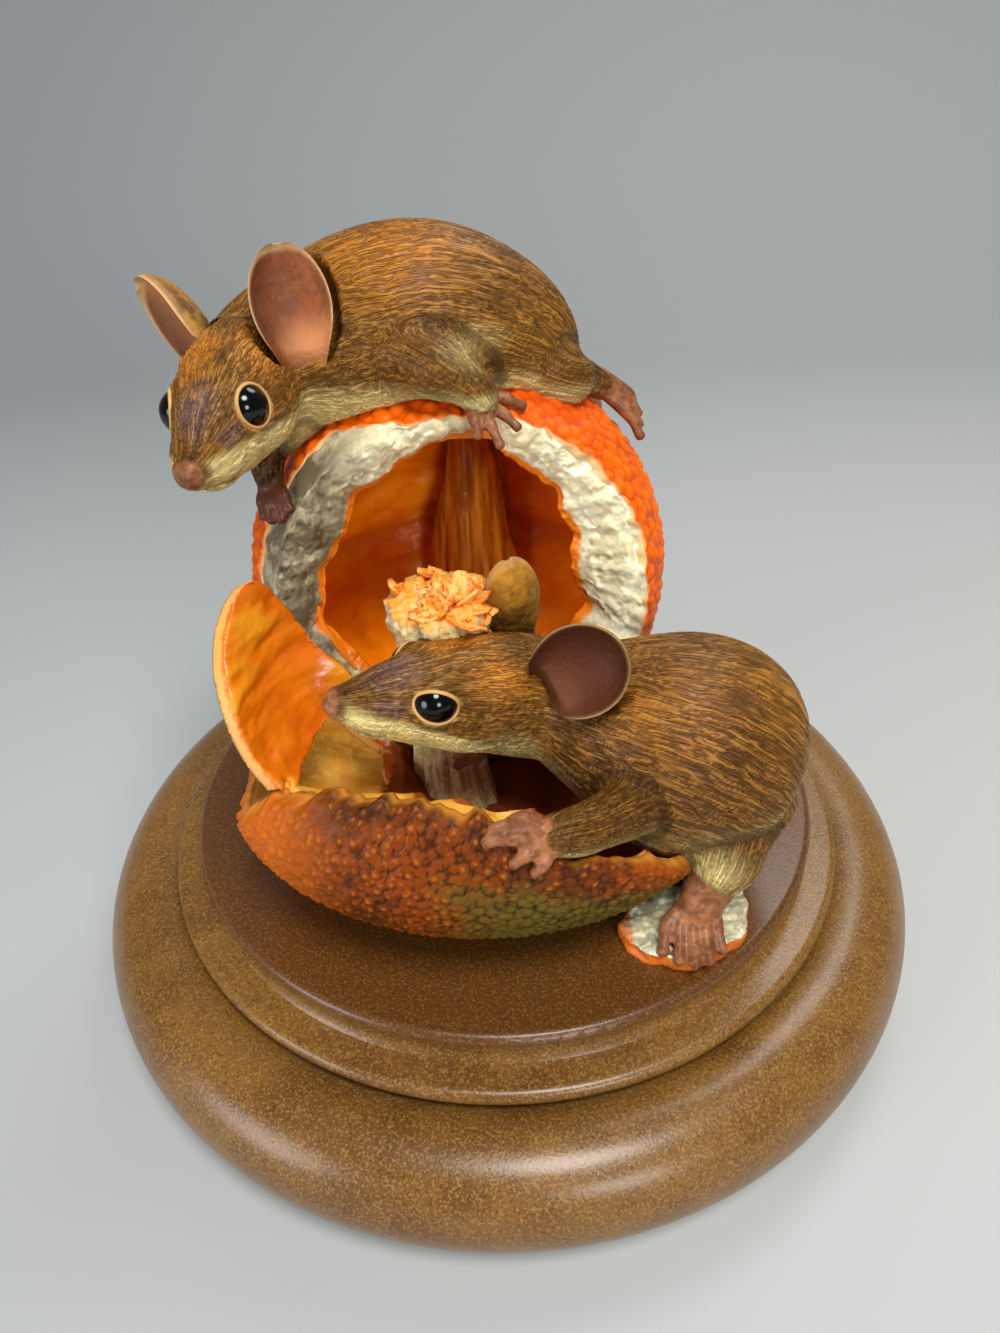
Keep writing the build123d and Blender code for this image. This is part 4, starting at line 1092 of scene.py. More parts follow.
def model_head(piece, head, lid_angles, ears):
    """Model a head with its brushes, mouth line, sunk eyes and lids, and dent the neck behind its ears."""
    points, normals = points_of(piece), normals_of(piece)
    places = head_places(head, points)
    near = (places[:, 0] < HEAD_LONG) & (np.abs(places[:, 1]) < 16) & (np.abs(places[:, 2]) < 16)
    push = np.zeros(len(points))
    for (back, out, up), reach, amount in head_brushes:
        for side in ((-1, 1) if out else (1,)):
            push += amount * soft_spot(places, (back, out * side, up), reach)
    mirrored = places * [1, 0, 1] + np.abs(places) * [0, 1, 0]
    push -= 0.42 * np.exp(-(line_distance(mirrored, mouth_line) / 0.4) ** 2)
    points[near] += (normals * push[:, None])[near]
    places = head_places(head, points)
    lids = np.zeros(len(points))
    for side in (-1, 1):
        away = places - [EYE_BACK, EYE_OUT * side, EYE_UP]
        true = np.linalg.norm(away, axis=1)
        look, along, high = eye_axes(side)
        polar = np.arccos(np.clip(away @ look / true, -1, 1))
        past = polar - lid_opening(np.arctan2(away @ high, away @ along), lid_angles)
        close = near & (true < EYE_RADIUS + 2.2)
        sunk, covered = close & (past < 0), close & (past >= 0) & (true < EYE_RADIUS + 0.24)
        away_to = np.ones(len(points))
        away_to[sunk] = (EYE_RADIUS - 0.35) / true[sunk]
        away_to[covered] = (EYE_RADIUS + 0.24) / true[covered]
        places += away * (away_to - 1)[:, None]
        lids[close] = np.maximum(lids, ease(past, 0.14, 0.04) * ease(true, EYE_RADIUS + 1.0, EYE_RADIUS + 0.4))[close]
    for ear in ears:
        centre, normal, tall, wide, ear_height, ear_breadth = ear
        away = head[0] + places @ np.stack(head[1:]) - centre
        height, breadth, behind = away @ tall, away @ wide, away @ normal
        inside = ease(np.hypot(breadth / ear_breadth, height / ear_height), 0.62, 0.52) * ease(height, -8.5, -6.0)
        dent = np.where((behind > EAR_BEHIND) & (behind < 6.0), (EAR_BEHIND - behind) * inside, 0)
        places += (dent[:, None] * normal) @ np.stack(head[1:]).T
    move_points(piece, head[0] + places @ np.stack(head[1:]))
    return lids


def eyelids(mouse, head, lid_angles):
    """The rolled rims of a mouse's eyelids, each a ring laid on its bead where the coat opens."""
    turns = np.linspace(0, 2 * np.pi, LID_STEPS, endpoint=False)
    opening = lid_opening(turns, lid_angles)
    corners, faces = [], []
    for side in (-1, 1):
        look, along, upward = eye_axes(side)
        line = (EYE_RADIUS + 0.14) * (np.cos(opening)[:, None] * look + np.sin(opening)[:, None] * (
            np.cos(turns)[:, None] * along + np.sin(turns)[:, None] * upward))
        outward = line / np.linalg.norm(line, axis=1)[:, None]
        heading = np.roll(line, -1, 0) - np.roll(line, 1, 0)
        heading /= np.linalg.norm(heading, axis=1)[:, None]
        across = np.cross(heading, outward)
        first = len(corners) * LID_STEPS
        for bend in np.linspace(0, 2 * np.pi, 10, endpoint=False):
            ring = line + LID_HALF * (0.8 * math.cos(bend) * outward + math.sin(bend) * across)
            corners.append(head[0] + (ring + [EYE_BACK, EYE_OUT * side, EYE_UP]) @ np.stack(head[1:]))
        step = np.arange(LID_STEPS)
        following = (step + 1) % LID_STEPS
        for row in range(10):
            low, high = first + row * LID_STEPS, first + (row + 1) % 10 * LID_STEPS
            faces += np.stack([low + step, low + following, high + following, high + step], 1).tolist()
    lids = new_piece(f"{mouse}_eyelids", np.concatenate(corners), faces)
    mark(lids, "lid", np.ones(len(lids.data.vertices)))
    dress(lids, coat_colours)
    hold(lids, "fur")


CHUNK = 20000


def comb(points, path, bandwidth=5.0):
    """Places along and round a combed path: how far along, and a bearing round it on a plain cylinder."""
    path = np.asarray(path, float)
    lengths = np.concatenate([[0], np.cumsum(np.linalg.norm(np.diff(path, axis=0), axis=1))])
    steps = np.linspace(0, lengths[-1], 90)
    line = np.stack([np.interp(steps, lengths, path[:, axis]) for axis in range(3)], 1)
    for _ in range(8):
        line[1:-1] = 0.25 * line[:-2] + 0.5 * line[1:-1] + 0.25 * line[2:]
    heading = np.gradient(line, axis=0)
    heading /= np.linalg.norm(heading, axis=1)[:, None]
    up = np.array([0.0, 0.0, 1.0])
    result = np.zeros((len(points), 3))
    nearest = np.zeros(len(points))
    ups, sides = [], []
    previous = up - heading[0] * (up @ heading[0])
    for way in heading:
        previous = previous - way * (previous @ way)
        previous /= np.linalg.norm(previous)
        ups.append(previous)
        sides.append(np.cross(way, previous))
    ups, sides = np.array(ups), np.array(sides)
    for first in range(0, len(points), CHUNK):
        chunk = points[first:first + CHUNK]
        away = chunk[:, None, :] - line[None]
        squared = (away ** 2).sum(2)
        least = squared.min(1)
        weight = np.exp(-(squared - least[:, None]) / bandwidth ** 2)
        weight /= weight.sum(1)[:, None]
        along = weight @ steps
        rise = (weight * (away * ups[None]).sum(2)).sum(1)
        across = (weight * (away * sides[None]).sum(2)).sum(1)
        round_it = np.sqrt(rise ** 2 + across ** 2) + 1e-6
        result[first:first + CHUNK] = np.stack([along, 13 * rise / round_it, 13 * across / round_it], 1)
        nearest[first:first + CHUNK] = np.sqrt(least)
    return result, nearest


def strokes(tree, flow, width, length):
    """Combed strokes on a flow: 0 in the grooves and 1 on the backs of the locks."""
    sway = value(tree, "ShaderNodeTexNoise", {"Vector": flow, "Scale": 0.25, "Detail": 1.5}, 1)
    swayed = vectors(tree, "MULTIPLY_ADD", sway, (0.0, 1.5, 1.5), flow)
    size = value(tree, "ShaderNodeCombineXYZ", {0: length, 1: width, 2: width})
    cloud = noise(tree, vectors(tree, "DIVIDE", swayed, size), 1.0, 1.5, 0.5)
    return (cloud - 0.5).math("ABSOLUTE").ease(0.0, 0.10)


def coat_tree():
    """Combed fur: long wavy locks cut along the flow, with bare skin left smooth."""
    tree, given = start_tree("combed_coat", [
        ("Stroke Width", "Float", 1.0), ("Stroke Length", "Float", 7.0), ("Stroke Depth", "Float", 0.0003)])
    body, limb = [strokes(tree, kept_mark(tree, name, "FLOAT_VECTOR"), given["Stroke Width"], given["Stroke Length"])
                  for name in ("flow", "limb_flow")]
    ridge = value(tree, "ShaderNodeMix", {0: kept_mark(tree, "limb"), 2: body, 3: limb}, data_type="FLOAT")
    return end_relief(tree, given, (ridge - 0.8) * kept_mark(tree, "fur") * given["Stroke Depth"], "ridge", ridge)


def coat_finish():
    """Painted fur: brown, painted shade in the grooves and painted highlight on the locks, cream below, pink-brown bare
    skin.
    """
    finish, tree = start_finish("painted_coat", 0.44, 0.06, 0.22)
    place = here(tree)
    flow, limb_flow = [attribute(tree, name, "Vector") for name in ("flow", "limb_flow")]
    flows = {0: attribute(tree, "limb"), 4: flow, 5: limb_flow}
    fine = strokes(tree, value(tree, "ShaderNodeMix", flows, 1, data_type="VECTOR"), 0.38, 6.0)
    ridge, fur, cream, shade = [attribute(tree, name) for name in ("ridge", "fur", "cream", "shade")]
    warm = laid(patches(tree, 0.014).mix((134, 88, 26), (112, 72, 20)),
                (attribute(tree, "gold"), (196, 118, 22)), (attribute(tree, "dusk"), (122, 90, 80)),
                (cream, (255, 236, 158)), (shade, (70, 34, 14)))
    # Painted highlight on the locks (lit) and painted shade in the coarse and fine grooves (deep).
    lit = value(tree, "ShaderNodeMix", {0: 0.24, 6: warm, 7: paint(214, 148, 54)}, 2, data_type="RGBA")
    deep = cream.scaled_onto(-0.44, 0.66).mix(warm, (40, 22, 6))
    base = laid(ridge.ease(0.6, 1.0).mix(warm, lit), (ridge.ease(0.45, 0.0) * 0.55, deep),
                (fine.ease(0.6, 0.0) * 0.8, deep))
    wrinkles = noise(tree, place, 900.0, 2.0).ease(0.48, 0.40) * 0.5
    bare = laid(patches(tree, 0.004).mix((154, 98, 62), (116, 70, 42)), (shade, (84, 42, 24)),
                (wrinkles, (84, 42, 24)))
    base = laid(fur.mix(bare, base), (attribute(tree, "lid") * 0.8, (206, 164, 96)))
    height = noise(tree, place, 1100.0, 2.0).scaled_onto(0.4, ridge.scaled_onto(0.4, fine) * fur)
    return painted(finish, base, height, 0.00018)


coat_colours = coat_finish()
combed_coat = coat_tree()


def make_coat(mouse, head, path, limbs, paws, spots, below, lid_angles, ears, replaced):
    """Weld a mouse from its CAD forms, its limbs and its paws, model it, comb it and mark its paint."""
    body = copies_of([f"{mouse}_body", f"{mouse}_head", f"{mouse}_eye_left", f"{mouse}_eye_right"])
    add_tubes(body, limbs)
    rough = clay(f"{mouse}_rough", body, 0.8, 4, doubled=True)
    body = bmesh.new()
    body.from_mesh(rough.data)
    bpy.data.objects.remove(rough)
    add_tubes(body, paws)
    coat = clay(f"{mouse}_coat", body, 0.37, 3)
    lids = model_head(coat, head, lid_angles, ears)
    points, normals = points_of(coat), normals_of(coat)
    places = head_places(head, points)
    flow, _ = comb(points, path)
    limb_flow = np.zeros((len(points), 3))
    limb_share = np.zeros(len(points))
    for line, widths in limbs:
        one, distance = comb(points, line, 3.0)
        share = ease(distance / np.mean(widths), 1.55, 1.1)
        take = share > limb_share
        limb_flow[take] = one[take] + [50, 0, 0]
        limb_share = np.maximum(limb_share, share)
    marks = {name: np.zeros(len(points)) for name in ("gold", "dusk", "cream", "shade", "bare")}
    for name, centre, reach, strength in spots:
        if name.startswith("head "):
            marks[name[5:]] = np.maximum(marks[name[5:]], strength * soft_spot(places, centre, reach))
        else:
            marks[name] = np.maximum(marks[name], strength * soft_spot(points, centre, reach))
    marks["cream"] = np.maximum(marks["cream"], below(points, normals, places))
    mouth = line_distance(places * [1, 0, 1] + np.abs(places) * [0, 1, 0], mouth_line)
    marks["shade"] = np.maximum(marks["shade"], 0.85 * np.exp(-(mouth / 0.34) ** 2))
    for line, widths in paws:
        away = line_distance(points, np.asarray(line)) / np.mean(widths)
        marks["bare"] = np.maximum(marks["bare"], ease(away, 2.6, 1.5))
    bare = np.maximum(ease(marks.pop("bare"), 0.15, 0.6), ease(lids, 0.2, 0.5))
    mark(coat, "fur", 1 - bare)
    mark(coat, "lid", ease(lids, 0.25, 0.7) * 0.5)
    mark(coat, "flow", flow)
    mark(coat, "limb_flow", limb_flow)
    mark(coat, "limb", limb_share)
    for name, values in marks.items():
        mark(coat, name, values)
    eyelids(mouse, head, lid_angles)
    grow(coat, combed_coat, coat_colours, stroke_width=0.72, stroke_length=9.0, stroke_depth=0.00026)
    hold(coat, "fur", *replaced)
    return coat


# Each ear's middle, the way it opens and the way it points, as shares forward, out and up in its head, and then
# its height and breadth
ear_shares = {
    "upper_mouse_ear_left": ((-0.775, 0.265, 0.340), (0.62, 0.26, 0.56), (-0.23, -0.05, 0.95), 16.4, 10.8),
    "upper_mouse_ear_right": ((-0.85, 0.30, 0.255), (0.62, 0.60, -0.10), (-0.25, 0.88, 0.52), 16.0, 11.4),
    "front_mouse_ear_left": ((-0.80, 0.36, 0.395), (0.66, 0.62, 0.16), (-0.62, 0.10, 0.66), 13.4, 12.4),
    "front_mouse_ear_right": ((-0.80, 0.22, 0.36), (0.05, 0.95, 0.10), (0.45, 0.0, 0.89), 15.4, 8.8)}


def ear_frame(name, head):
    """An ear's middle, the way it opens, the way it points and the way across."""
    side = -1 if name.endswith("left") else 1

    def way(shares):
        forward, out, up = shares
        return -head[1] * forward + head[2] * side * out + head[3] * up

    middle, opens, points_way, height, breadth = ear_shares[name]
    normal = way(opens) / np.linalg.norm(way(opens))
    tall = way(points_way)
    tall = tall - normal * (tall @ normal)
    tall /= np.linalg.norm(tall)
    return head[0] + way(middle) * HEAD_LONG, normal, tall, np.cross(tall, normal), height, breadth


def ears_of(mouse, head):
    return [ear_frame(f"{mouse}_ear_{side}", head) for side in ("left", "right")]


def coat_nodes(mouse):
    """The CAD nodes that a coat stands for."""
    return [f"{mouse}_body", f"{mouse}_head"] + [f"{mouse}_{leg}_{side}" for leg in ("foreleg", "hind_leg")
                                                 for side in ("left", "right")]


def legs_from(anchor, shares):
    """Limbs from places and half widths given as shares of a mouse's length."""
    return [([anchor + np.array(station[:3]) * MOUSE_LONG for station in stations],
             [station[3] * MOUSE_LONG for station in stations]) for stations in shares]


upper_at = np.array([-6.0, 17.5, 94.6])
front_at = np.array([25.0, -20.0, 27.0])
upper_head = head_frame(upper_at + np.array([-0.386, -0.444, -0.026]) * MOUSE_LONG, -6.5, 5.0, -4.0)
front_head = head_frame(front_at + np.array([-0.593, -0.100, 0.479]) * MOUSE_LONG, -64.5, -18.0, 6.0)
head_spots = [("head bare", (0.4, 0.0, 0.3), (3.4, 3.0, 2.8), 1.5),
              ("head dusk", (9.0, 0.0, 5.0), (9.0, 4.2, 3.8), 1.1),
              ("head dusk", (8.0, 3.4, 2.0), (5.0, 2.6, 2.4), 1.1),
              ("head dusk", (8.0, -3.4, 2.0), (5.0, 2.6, 2.4), 1.1),
              ("head gold", (21.0, 5.0, 7.0), (7.0, 5.0, 5.0), 0.9),
              ("head gold", (21.0, -5.0, 7.0), (7.0, 5.0, 5.0), 0.7),
              ("head gold", (18.0, 2.0, 8.5), (9.0, 4.0, 4.0), 0.9),
              ("head shade", (1.0, 0.0, 2.4), (2.6, 2.2, 1.4), 0.5)]


def jaw(places):
    """The cream of a head: below a line from the mouth to the throat."""
    line = 1.5 - 0.15 * (places[:, 0] - 2)
    return ease(places[:, 2], line + 0.5, line - 1.1) * ease(places[:, 0], 0.8, 2.6) * ease(places[:, 0], 27, 19)


def upper_below(points, normals, places):
    """The upper mouse's cream: its jaw and the underside that leans over the orange."""
    under = ease(normals[:, 2], 0.15, -0.35) * ease(points[:, 1], 26, 10)
    under = under * ease(points[:, 2], 97, 93) * ease(points[:, 2], 80, 86)
    return np.maximum(jaw(places), under * 0.75)


def front_below(points, normals, places):
    """The front mouse's cream: its jaw and the underside of its chest."""
    return np.maximum(jaw(places), ease(normals[:, 2], 0.0, -0.5) * 0.6)


upper_path = [(-36.9, -18, 92.5), (-35.7, -8, 93.4), (-34.5, 2, 94.3), (-32, 10, 95.5), (-26, 15, 97), (-18, 17, 98.8),
              (-8, 19, 99.2), (2, 21.5, 95.5), (8, 23.7, 91.8), (13, 25.2, 88.0)]
upper_limbs = legs_from(upper_at, [
    [(-0.12, -0.06, 0.06, 0.090), (-0.02, -0.155, 0.045, 0.060),
     (0.045, -0.18, 0.01, 0.040), (0.062, -0.188, -0.010, 0.034)],
    [(-0.25, -0.02, -0.03, 0.075), (-0.315, -0.110, -0.08, 0.050),
     (-0.335, -0.140, -0.12, 0.034), (-0.335, -0.155, -0.155, 0.030)],
    [(0.14, 0.02, -0.01, 0.10), (0.215, -0.03, -0.03, 0.055),
     (0.255, 0.06, -0.055, 0.036), (0.30, 0.075, -0.085, 0.030)],
    [(0.08, 0.14, -0.02, 0.10), (0.13, 0.246, -0.058, 0.055),
     (0.12, 0.334, -0.12, 0.038), (0.10, 0.38, -0.196, 0.033)]])
upper_paws = [finger((-2.6, 4.2, 93.3), (-2.2, 1.0, 91.9), (-1.6, -1.2, 89.9), 0.85),
              finger((-1.8, 3.8, 93.3), (0.0, 0.4, 91.2), (1.4, -2.0, 88.8), 0.85),
              finger((-1.2, 4.2, 93.2), (1.9, 2.3, 91.8), (4.0, 1.2, 90.0), 0.85),
              finger((-1.2, 5.4, 93.4), (2.3, 5.1, 93.0), (5.0, 5.4, 91.6), 0.85),
              finger((-33.4, 5.4, 82.0), (-34.0, 3.4, 79.6), (-33.8, 1.8, 77.4), 0.85),
              finger((-32.8, 5.0, 82.0), (-32.8, 2.4, 79.6), (-32.4, 0.8, 77.2), 0.85),
              finger((-32.2, 4.8, 82.1), (-31.6, 2.0, 79.8), (-30.8, 0.4, 77.6), 0.85),
              finger((-31.6, 4.8, 82.4), (-30.4, 2.4, 80.6), (-29.4, 1.0, 78.8), 0.85)]
upper_paws += [finger((18.0, 23.5 - lift, 88.0 - lift), (22.4, 22.0 - 1.5 * lift, 84.6 - lift),
                      (24.2, 20.8 - 1.5 * lift, 81.4 - lift), 0.95) for lift in (-1.6, -0.4, 0.8)]
upper_paws += [finger((2.2 + 1.3 * step, 46.5, 79.6), (2.0 + 1.9 * step, 49.6, 76.4),
                      (2.2 + 2.3 * step, 51.2, 72.8), 0.9) for step in (-1.0, 0.0, 1.0, 2.0)]
upper_spots = [*head_spots, ("gold", (-12, 10, 112), (16, 14, 10), 0.6), ("cream", (1.0, 2.0, 101.0), (9, 8, 4.5), 0.6),
               ("shade", (-31, 2, 80), (9, 11, 14), 1.8), ("bare", (-1.6, 4.2, 93.2), (4.4, 4.4, 4.0), 1.2)]
make_coat("upper_mouse", upper_head, upper_path, upper_limbs, upper_paws, upper_spots, upper_below, (60, 60),
          ears_of("upper_mouse", upper_head), coat_nodes("upper_mouse"))

front_path = [(-22.4, -28, 65.3), (-13.8, -23.9, 62.2), (-5.2, -19.8, 59.1), (3, -17.5, 57), (10, -17.6, 55.5),
              (16, -19.3, 54.5), (23, -20.8, 52.5), (30, -21.4, 48.5), (36, -21.6, 43), (39.5, -21.6, 36)]
front_limbs = legs_from(front_at, [
    [(-0.03, -0.02, 0.25, 0.060), (-0.08, -0.145, 0.285, 0.054),
     (-0.185, -0.258, 0.335, 0.042), (-0.24, -0.292, 0.355, 0.036)],
    [(-0.14, 0.02, 0.27, 0.070), (-0.22, 0.05, 0.28, 0.045), (-0.29, 0.07, 0.28, 0.034), (-0.335, 0.085, 0.27, 0.030)],
    [(0.09, -0.06, 0.20, 0.13), (0.070, -0.15, 0.15, 0.075),
     (0.045, -0.180, 0.105, 0.046), (0.028, -0.20, 0.080, 0.042)],
    [(0.09, 0.02, 0.20, 0.13), (0.09, 0.11, 0.125, 0.075), (0.075, 0.15, 0.07, 0.048), (0.05, 0.155, 0.038, 0.038)]])
front_paws = [finger((4.9, -43.6, 56.6), (2.3, -43.2, 58.4), (-1.6, -44.0, 57.6), 0.9),
              finger((4.6, -44.2, 55.9), (1.3, -44.9, 56.8), (-2.5, -45.0, 56.4), 0.9),
              finger((4.8, -44.6, 55.2), (2.2, -46.0, 54.9), (0.6, -46.3, 53.6), 0.9),
              finger((5.6, -44.8, 54.6), (4.4, -46.4, 53.6), (3.2, -46.6, 52.2), 0.85)]
front_paws += [finger((-2.0, -14.4, 47.6 + 1.1 * step), (-3.8, -17.4, 47.6 + 1.5 * step),
                      (-7.0, -18.6, 47.4 + 1.8 * step), 0.85) for step in (-1.0, 0.0, 1.0, 2.0)]
front_paws += [finger((26.9 + 0.9 * step, -35.6, 33.4), (25.8 + 1.7 * step, -38.4 + 0.1 * step * step, 31.9),
                      (25.4 + 2.1 * step, -43.6 + 0.5 * step * step, 29.9), 0.95)
               for step in (-2.0, -1.0, 0.0, 1.0, 2.0)]
front_paws += [([(27.2, -34.6, 34.0), (26.2, -37.0, 32.3)], [2.7, 2.1])]
front_paws += [finger((27.0, -6.6 + 1.2 * step, 29.0), (23.6, -6.8 + 1.8 * step, 28.6),
                      (20.4, -6.8 + 2.1 * step, 28.0), 0.9) for step in (-2.0, -1.0, 0.0, 1.0, 2.0)]
front_spots = [*head_spots, ("cream", (24.0, -38, 40), (12, 9, 7), 1.1), ("shade", (14.0, -27.0, 60.0), (5, 6, 6), 0.6),
               ("gold", (22, -30, 62), (12, 10, 8), 0.35), ("shade", (24, -30, 52), (22, 20, 19), 0.65),
               ("bare", (28.0, -33.0, 36.0), (4.0, 4.0, 4.0), 1.0)]
make_coat("front_mouse", front_head, front_path, front_limbs, front_paws, front_spots, front_below, (70, 44),
          ears_of("front_mouse", front_head), coat_nodes("front_mouse"))


# Eyes
# Round black glass beads with a deep gloss, pressed into their sockets before painting. Each shows
# between its painted lids.
def bead_finish():
    finish, tree = start_finish("black_bead", 0.12, 0.0, 0.35)
    # A painted sheen: the bead is a little lighter where it turns away from the view.
    depth = value(tree, "ShaderNodeLayerWeight", {"Blend": 0.35}, "Facing")
    return painted(finish, depth.mix((4, 4, 5), (14, 13, 16)))


bead = bead_finish()
for mouse in ("upper_mouse", "front_mouse"):
    for side in ("left", "right"):
        dress(nodes[f"{mouse}_eye_{side}"], bead)


# Ears
# Thin cupped resin shells let into the head behind the eyes, smooth and pinkish brown inside, with a
# pale rolled rim and a brown painted back.
def ear_finish():
    finish, tree = start_finish("ear_skin", 0.55, 0.0, 0.18)
    inner = laid(patches(tree, 0.005).mix((136, 76, 42), (108, 58, 32)),
                 # The depth mark is painted shade inside the cup.
                 (attribute(tree, "lobe"), (186, 122, 78)), (attribute(tree, "depth"), (84, 44, 26)),
                 (attribute(tree, "dark"), (72, 34, 18)))
    back = laid(patches(tree, 0.004, 0.08).mix((156, 112, 34), (92, 60, 24)),
                (attribute(tree, "tip") * 0.4, (190, 126, 30)))
    base = laid(attribute(tree, "back").mix(inner, back), (attribute(tree, "edge"), (216, 178, 126)))
    return painted(finish, base, noise(tree, here(tree), 900.0, 4.0), 0.0003)


ear_skin = ear_finish()


def make_ear(name, head, dark, pale):
    """A cupped ear: strips across it from its root to its tip, closed behind by its wall."""
    centre, normal, tall, wide, ear_height, ear_breadth = ear_frame(name, head)
    across = np.linspace(-1, 1, 45)
    rise = np.linspace(0, 1, 65)
    root = -ear_height * 0.5 - 1.4
    front_rows, back_rows, rims = [], [], []
    for share in rise:
        height = root + share * (ear_height * 0.5 - root)
        up_share = (height + ear_height * 0.5) / ear_height
        if up_share > 0.5:
            half = ear_breadth / 2 * math.sqrt(max(1e-4, 1 - ((up_share - 0.5) / 0.502) ** 2))
        else:
            half = ear_breadth / 2 * (0.22 + 0.78 * math.sin(max(0.0, (up_share + 0.17) / 0.67) * math.pi / 2))
        curl = 1.15 + 0.5 * max(0.0, 0.4 - up_share)
        bend = half * np.sin(across * curl) / math.sin(curl)
        cup = 0.4 - half * (np.cos(across * curl) - math.cos(curl)) / math.sin(curl)
        cup = cup + 0.3 * np.sin(across * 5 + up_share * 6) * np.exp(-((up_share - 0.2) / 0.2) ** 2)
        arch = max(0.0, up_share * 2 - 1)
        to_rim = np.sqrt(across ** 2 * (1 - arch ** 2) + arch ** 2)
        roll = ease(to_rim, 0.84, 1.0) * 0.35 + 5.5 * ease(up_share, 0.16, -0.14)
        line = centre + tall * height + bend[:, None] * wide + (cup - roll)[:, None] * normal
        rims.append(ease(to_rim, 0.88, 0.97) * ease(share, 0.1, 0.4))
        front_rows.append(line)
        back_rows.append(line - normal * EAR_WALL * (1 - 0.4 * to_rim[:, None] ** 3))
    front, back = np.array(front_rows), np.array(back_rows)
    count, width = front.shape[:2]
    points = np.concatenate([front.reshape(-1, 3), back.reshape(-1, 3)])
    ear = new_piece(name + "_shell", points, plate_faces(count, width))
    edge = np.array(rims)
    # Painted shade: the inner cup is darker in its upper part, towards one side.
    deep = ease(rise, 0.15, 0.45)[:, None] * ease(across, 0.1, -0.85)[None] * 0.8
    lobe = ease(rise, 0.55, 0.25)[:, None] * ease(across, -0.8, 0.2)[None]
    both = np.zeros(count * width)
    mark(ear, "edge", np.concatenate([edge.ravel(), edge.ravel() * 0.3]) * (0.4 if dark else 0.7))
    mark(ear, "back", np.concatenate([both, both + 1]))
    mark(ear, "depth", np.concatenate([deep.ravel(), both]))
    mark(ear, "lobe", np.concatenate([np.maximum(lobe, pale).ravel(), both]))
    mark(ear, "dark", np.full(2 * count * width, dark))
    mark(ear, "tip", np.tile(ease(np.repeat(rise, width), 0.35, 0.9), 2))
    smooth = ear.modifiers.new("soft", "SUBSURF")
    smooth.levels = smooth.render_levels = 1
    settle(ear)
    dress(ear, ear_skin)
    hold(ear, "bare_skin", name)


for ear_name, dark, pale in (("upper_mouse_ear_left", 0.0, 0.0), ("upper_mouse_ear_right", 0.0, 0.9),
                             ("front_mouse_ear_left", 0.9, 0.0), ("front_mouse_ear_right", 0.2, 0.0)):
    make_ear(ear_name, upper_head if ear_name.startswith("upper") else front_head, dark, pale)


# Tails
# Bare tails cast in one with the mice: the front mouse's curls on the plinth behind the orange, and
# the upper mouse's lies down the orange's back. They are painted the pink brown of the paws.
def tail_finish():
    finish, tree = start_finish("tail_skin", 0.42, 0.1, 0.35)
    base = patches(tree, 0.006, 0.1).mix((172, 116, 88), (134, 84, 60))
    return painted(finish, base, noise(tree, here(tree), 1200.0, 3.0), 0.0001)


tail_skin = tail_finish()
for tail in ("upper_mouse_tail", "front_mouse_tail"):
    dress(nodes[tail], tail_skin)


# Floor, light and camera
# A pale cool floor that runs up into the backdrop, a soft lamp high in front, two low ones at the
# front right and the left, one behind, a low pale sky, and the photograph's own view.
def floor_paint():
    finish, tree = start_finish("pale_floor", 0.8, specular=0.2)
    across, back = [value(tree, "ShaderNodeSeparateXYZ", {0: here(tree)}, axis) for axis in (0, 1)]
    # Painted shade: the floor is darker to the left and towards the back.
    near = across.ease(-0.25, 0.25).mix((162, 167, 170), (186, 187, 185))
    far = across.ease(-0.35, 0.35).mix((134, 138, 141), (146, 150, 148))
    return painted(finish, back.ease(-0.05, 0.42).mix(near, far))


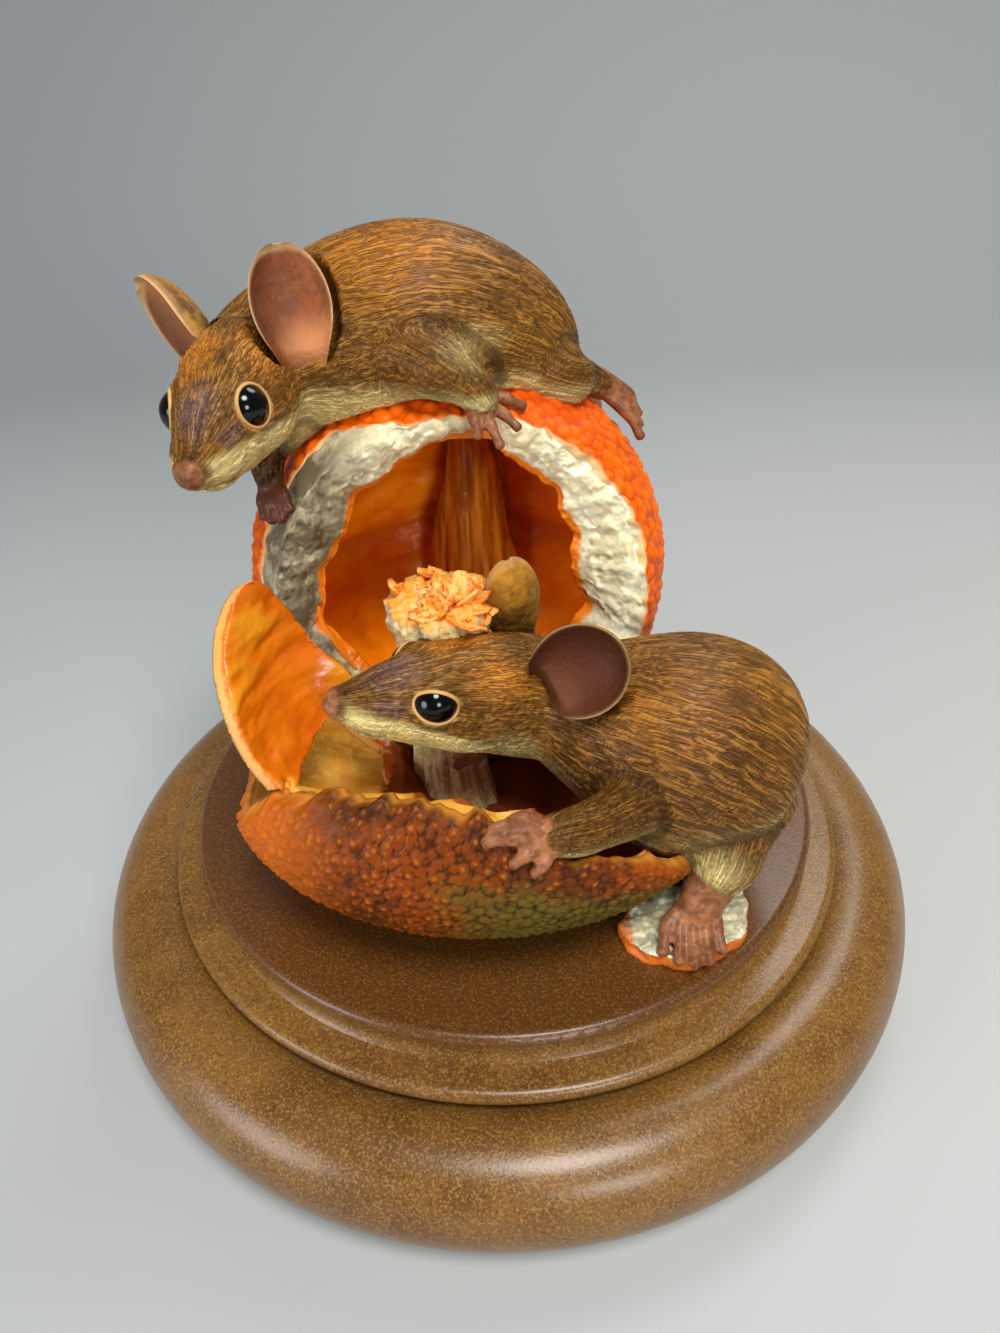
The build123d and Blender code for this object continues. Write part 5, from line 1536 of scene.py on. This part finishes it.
sweep_line = [(-700, 0), (0, 0), (300, 0)]
sweep_line += [(300 + 200 * math.sin(angle), 200 - 200 * math.cos(angle)) for angle in np.linspace(0.1, 1.5, 12)]
sweep_line.append((505, 900))
sweep_points = np.array([[x, y, z] for y, z in sweep_line for x in (-900, 900)])
floor = new_piece("floor", sweep_points, [(2 * i, 2 * i + 1, 2 * i + 3, 2 * i + 2) for i in range(len(sweep_line) - 1)])
dress(floor, floor_paint())


def lamp(name, place, target, size, watts, tone):
    data = bpy.data.lights.new(name, "AREA")
    data.shape = "DISK"
    data.size = size
    data.energy = watts
    data.color = tone
    made = bpy.data.objects.new(name, data)
    bpy.context.scene.collection.objects.link(made)
    made.location = place
    made.rotation_euler = (Vector(target) - Vector(place)).to_track_quat("-Z", "Y").to_euler()


SUBJECT = (0.0, 0.0, 0.06)
lamp("key_lamp", (0.12, -0.36, 0.86), SUBJECT, 0.34, 7.8, (1.0, 0.98, 0.94))
lamp("front_lamp", (0.30, -0.76, 0.36), SUBJECT, 0.25, 2.6, (1.0, 0.98, 0.95))
lamp("left_lamp", (-0.62, -0.44, 0.22), SUBJECT, 0.40, 3.0, (0.97, 0.98, 1.0))
lamp("back_lamp", (0.25, 0.40, 0.70), SUBJECT, 0.35, 2.4, (1.0, 1.0, 1.0))
world = bpy.data.worlds.new("pale_sky")
bpy.context.scene.world = world
world.use_nodes = True
sky = world.node_tree.nodes["Background"].inputs
sky["Color"].default_value = paint(206, 214, 222)
sky["Strength"].default_value = 0.20

camera_data = bpy.data.cameras.new("camera")
camera = bpy.data.objects.new("camera", camera_data)
bpy.context.scene.collection.objects.link(camera)
bpy.context.scene.camera = camera
camera_data.sensor_width = 36.0
camera_data.lens = 25.66
camera_data.clip_start = 0.01
CAMERA_AT = (0.0, -0.1259056, 0.1395535)
pitch, yaw, roll = 0.6164, -0.0013, -0.0371
forward = Vector((-math.sin(yaw) * math.cos(pitch), math.cos(yaw) * math.cos(pitch), -math.sin(pitch)))
right = Vector((math.cos(yaw), math.sin(yaw), 0))
up = right.cross(forward)
right, up = right * math.cos(roll) + up * math.sin(roll), up * math.cos(roll) - right * math.sin(roll)
camera.matrix_world = Matrix([(right[axis], up[axis], -forward[axis], CAMERA_AT[axis]) for axis in range(3)]
                             + [(0, 0, 0, 1)])
bpy.context.scene.view_settings.view_transform = "Standard"
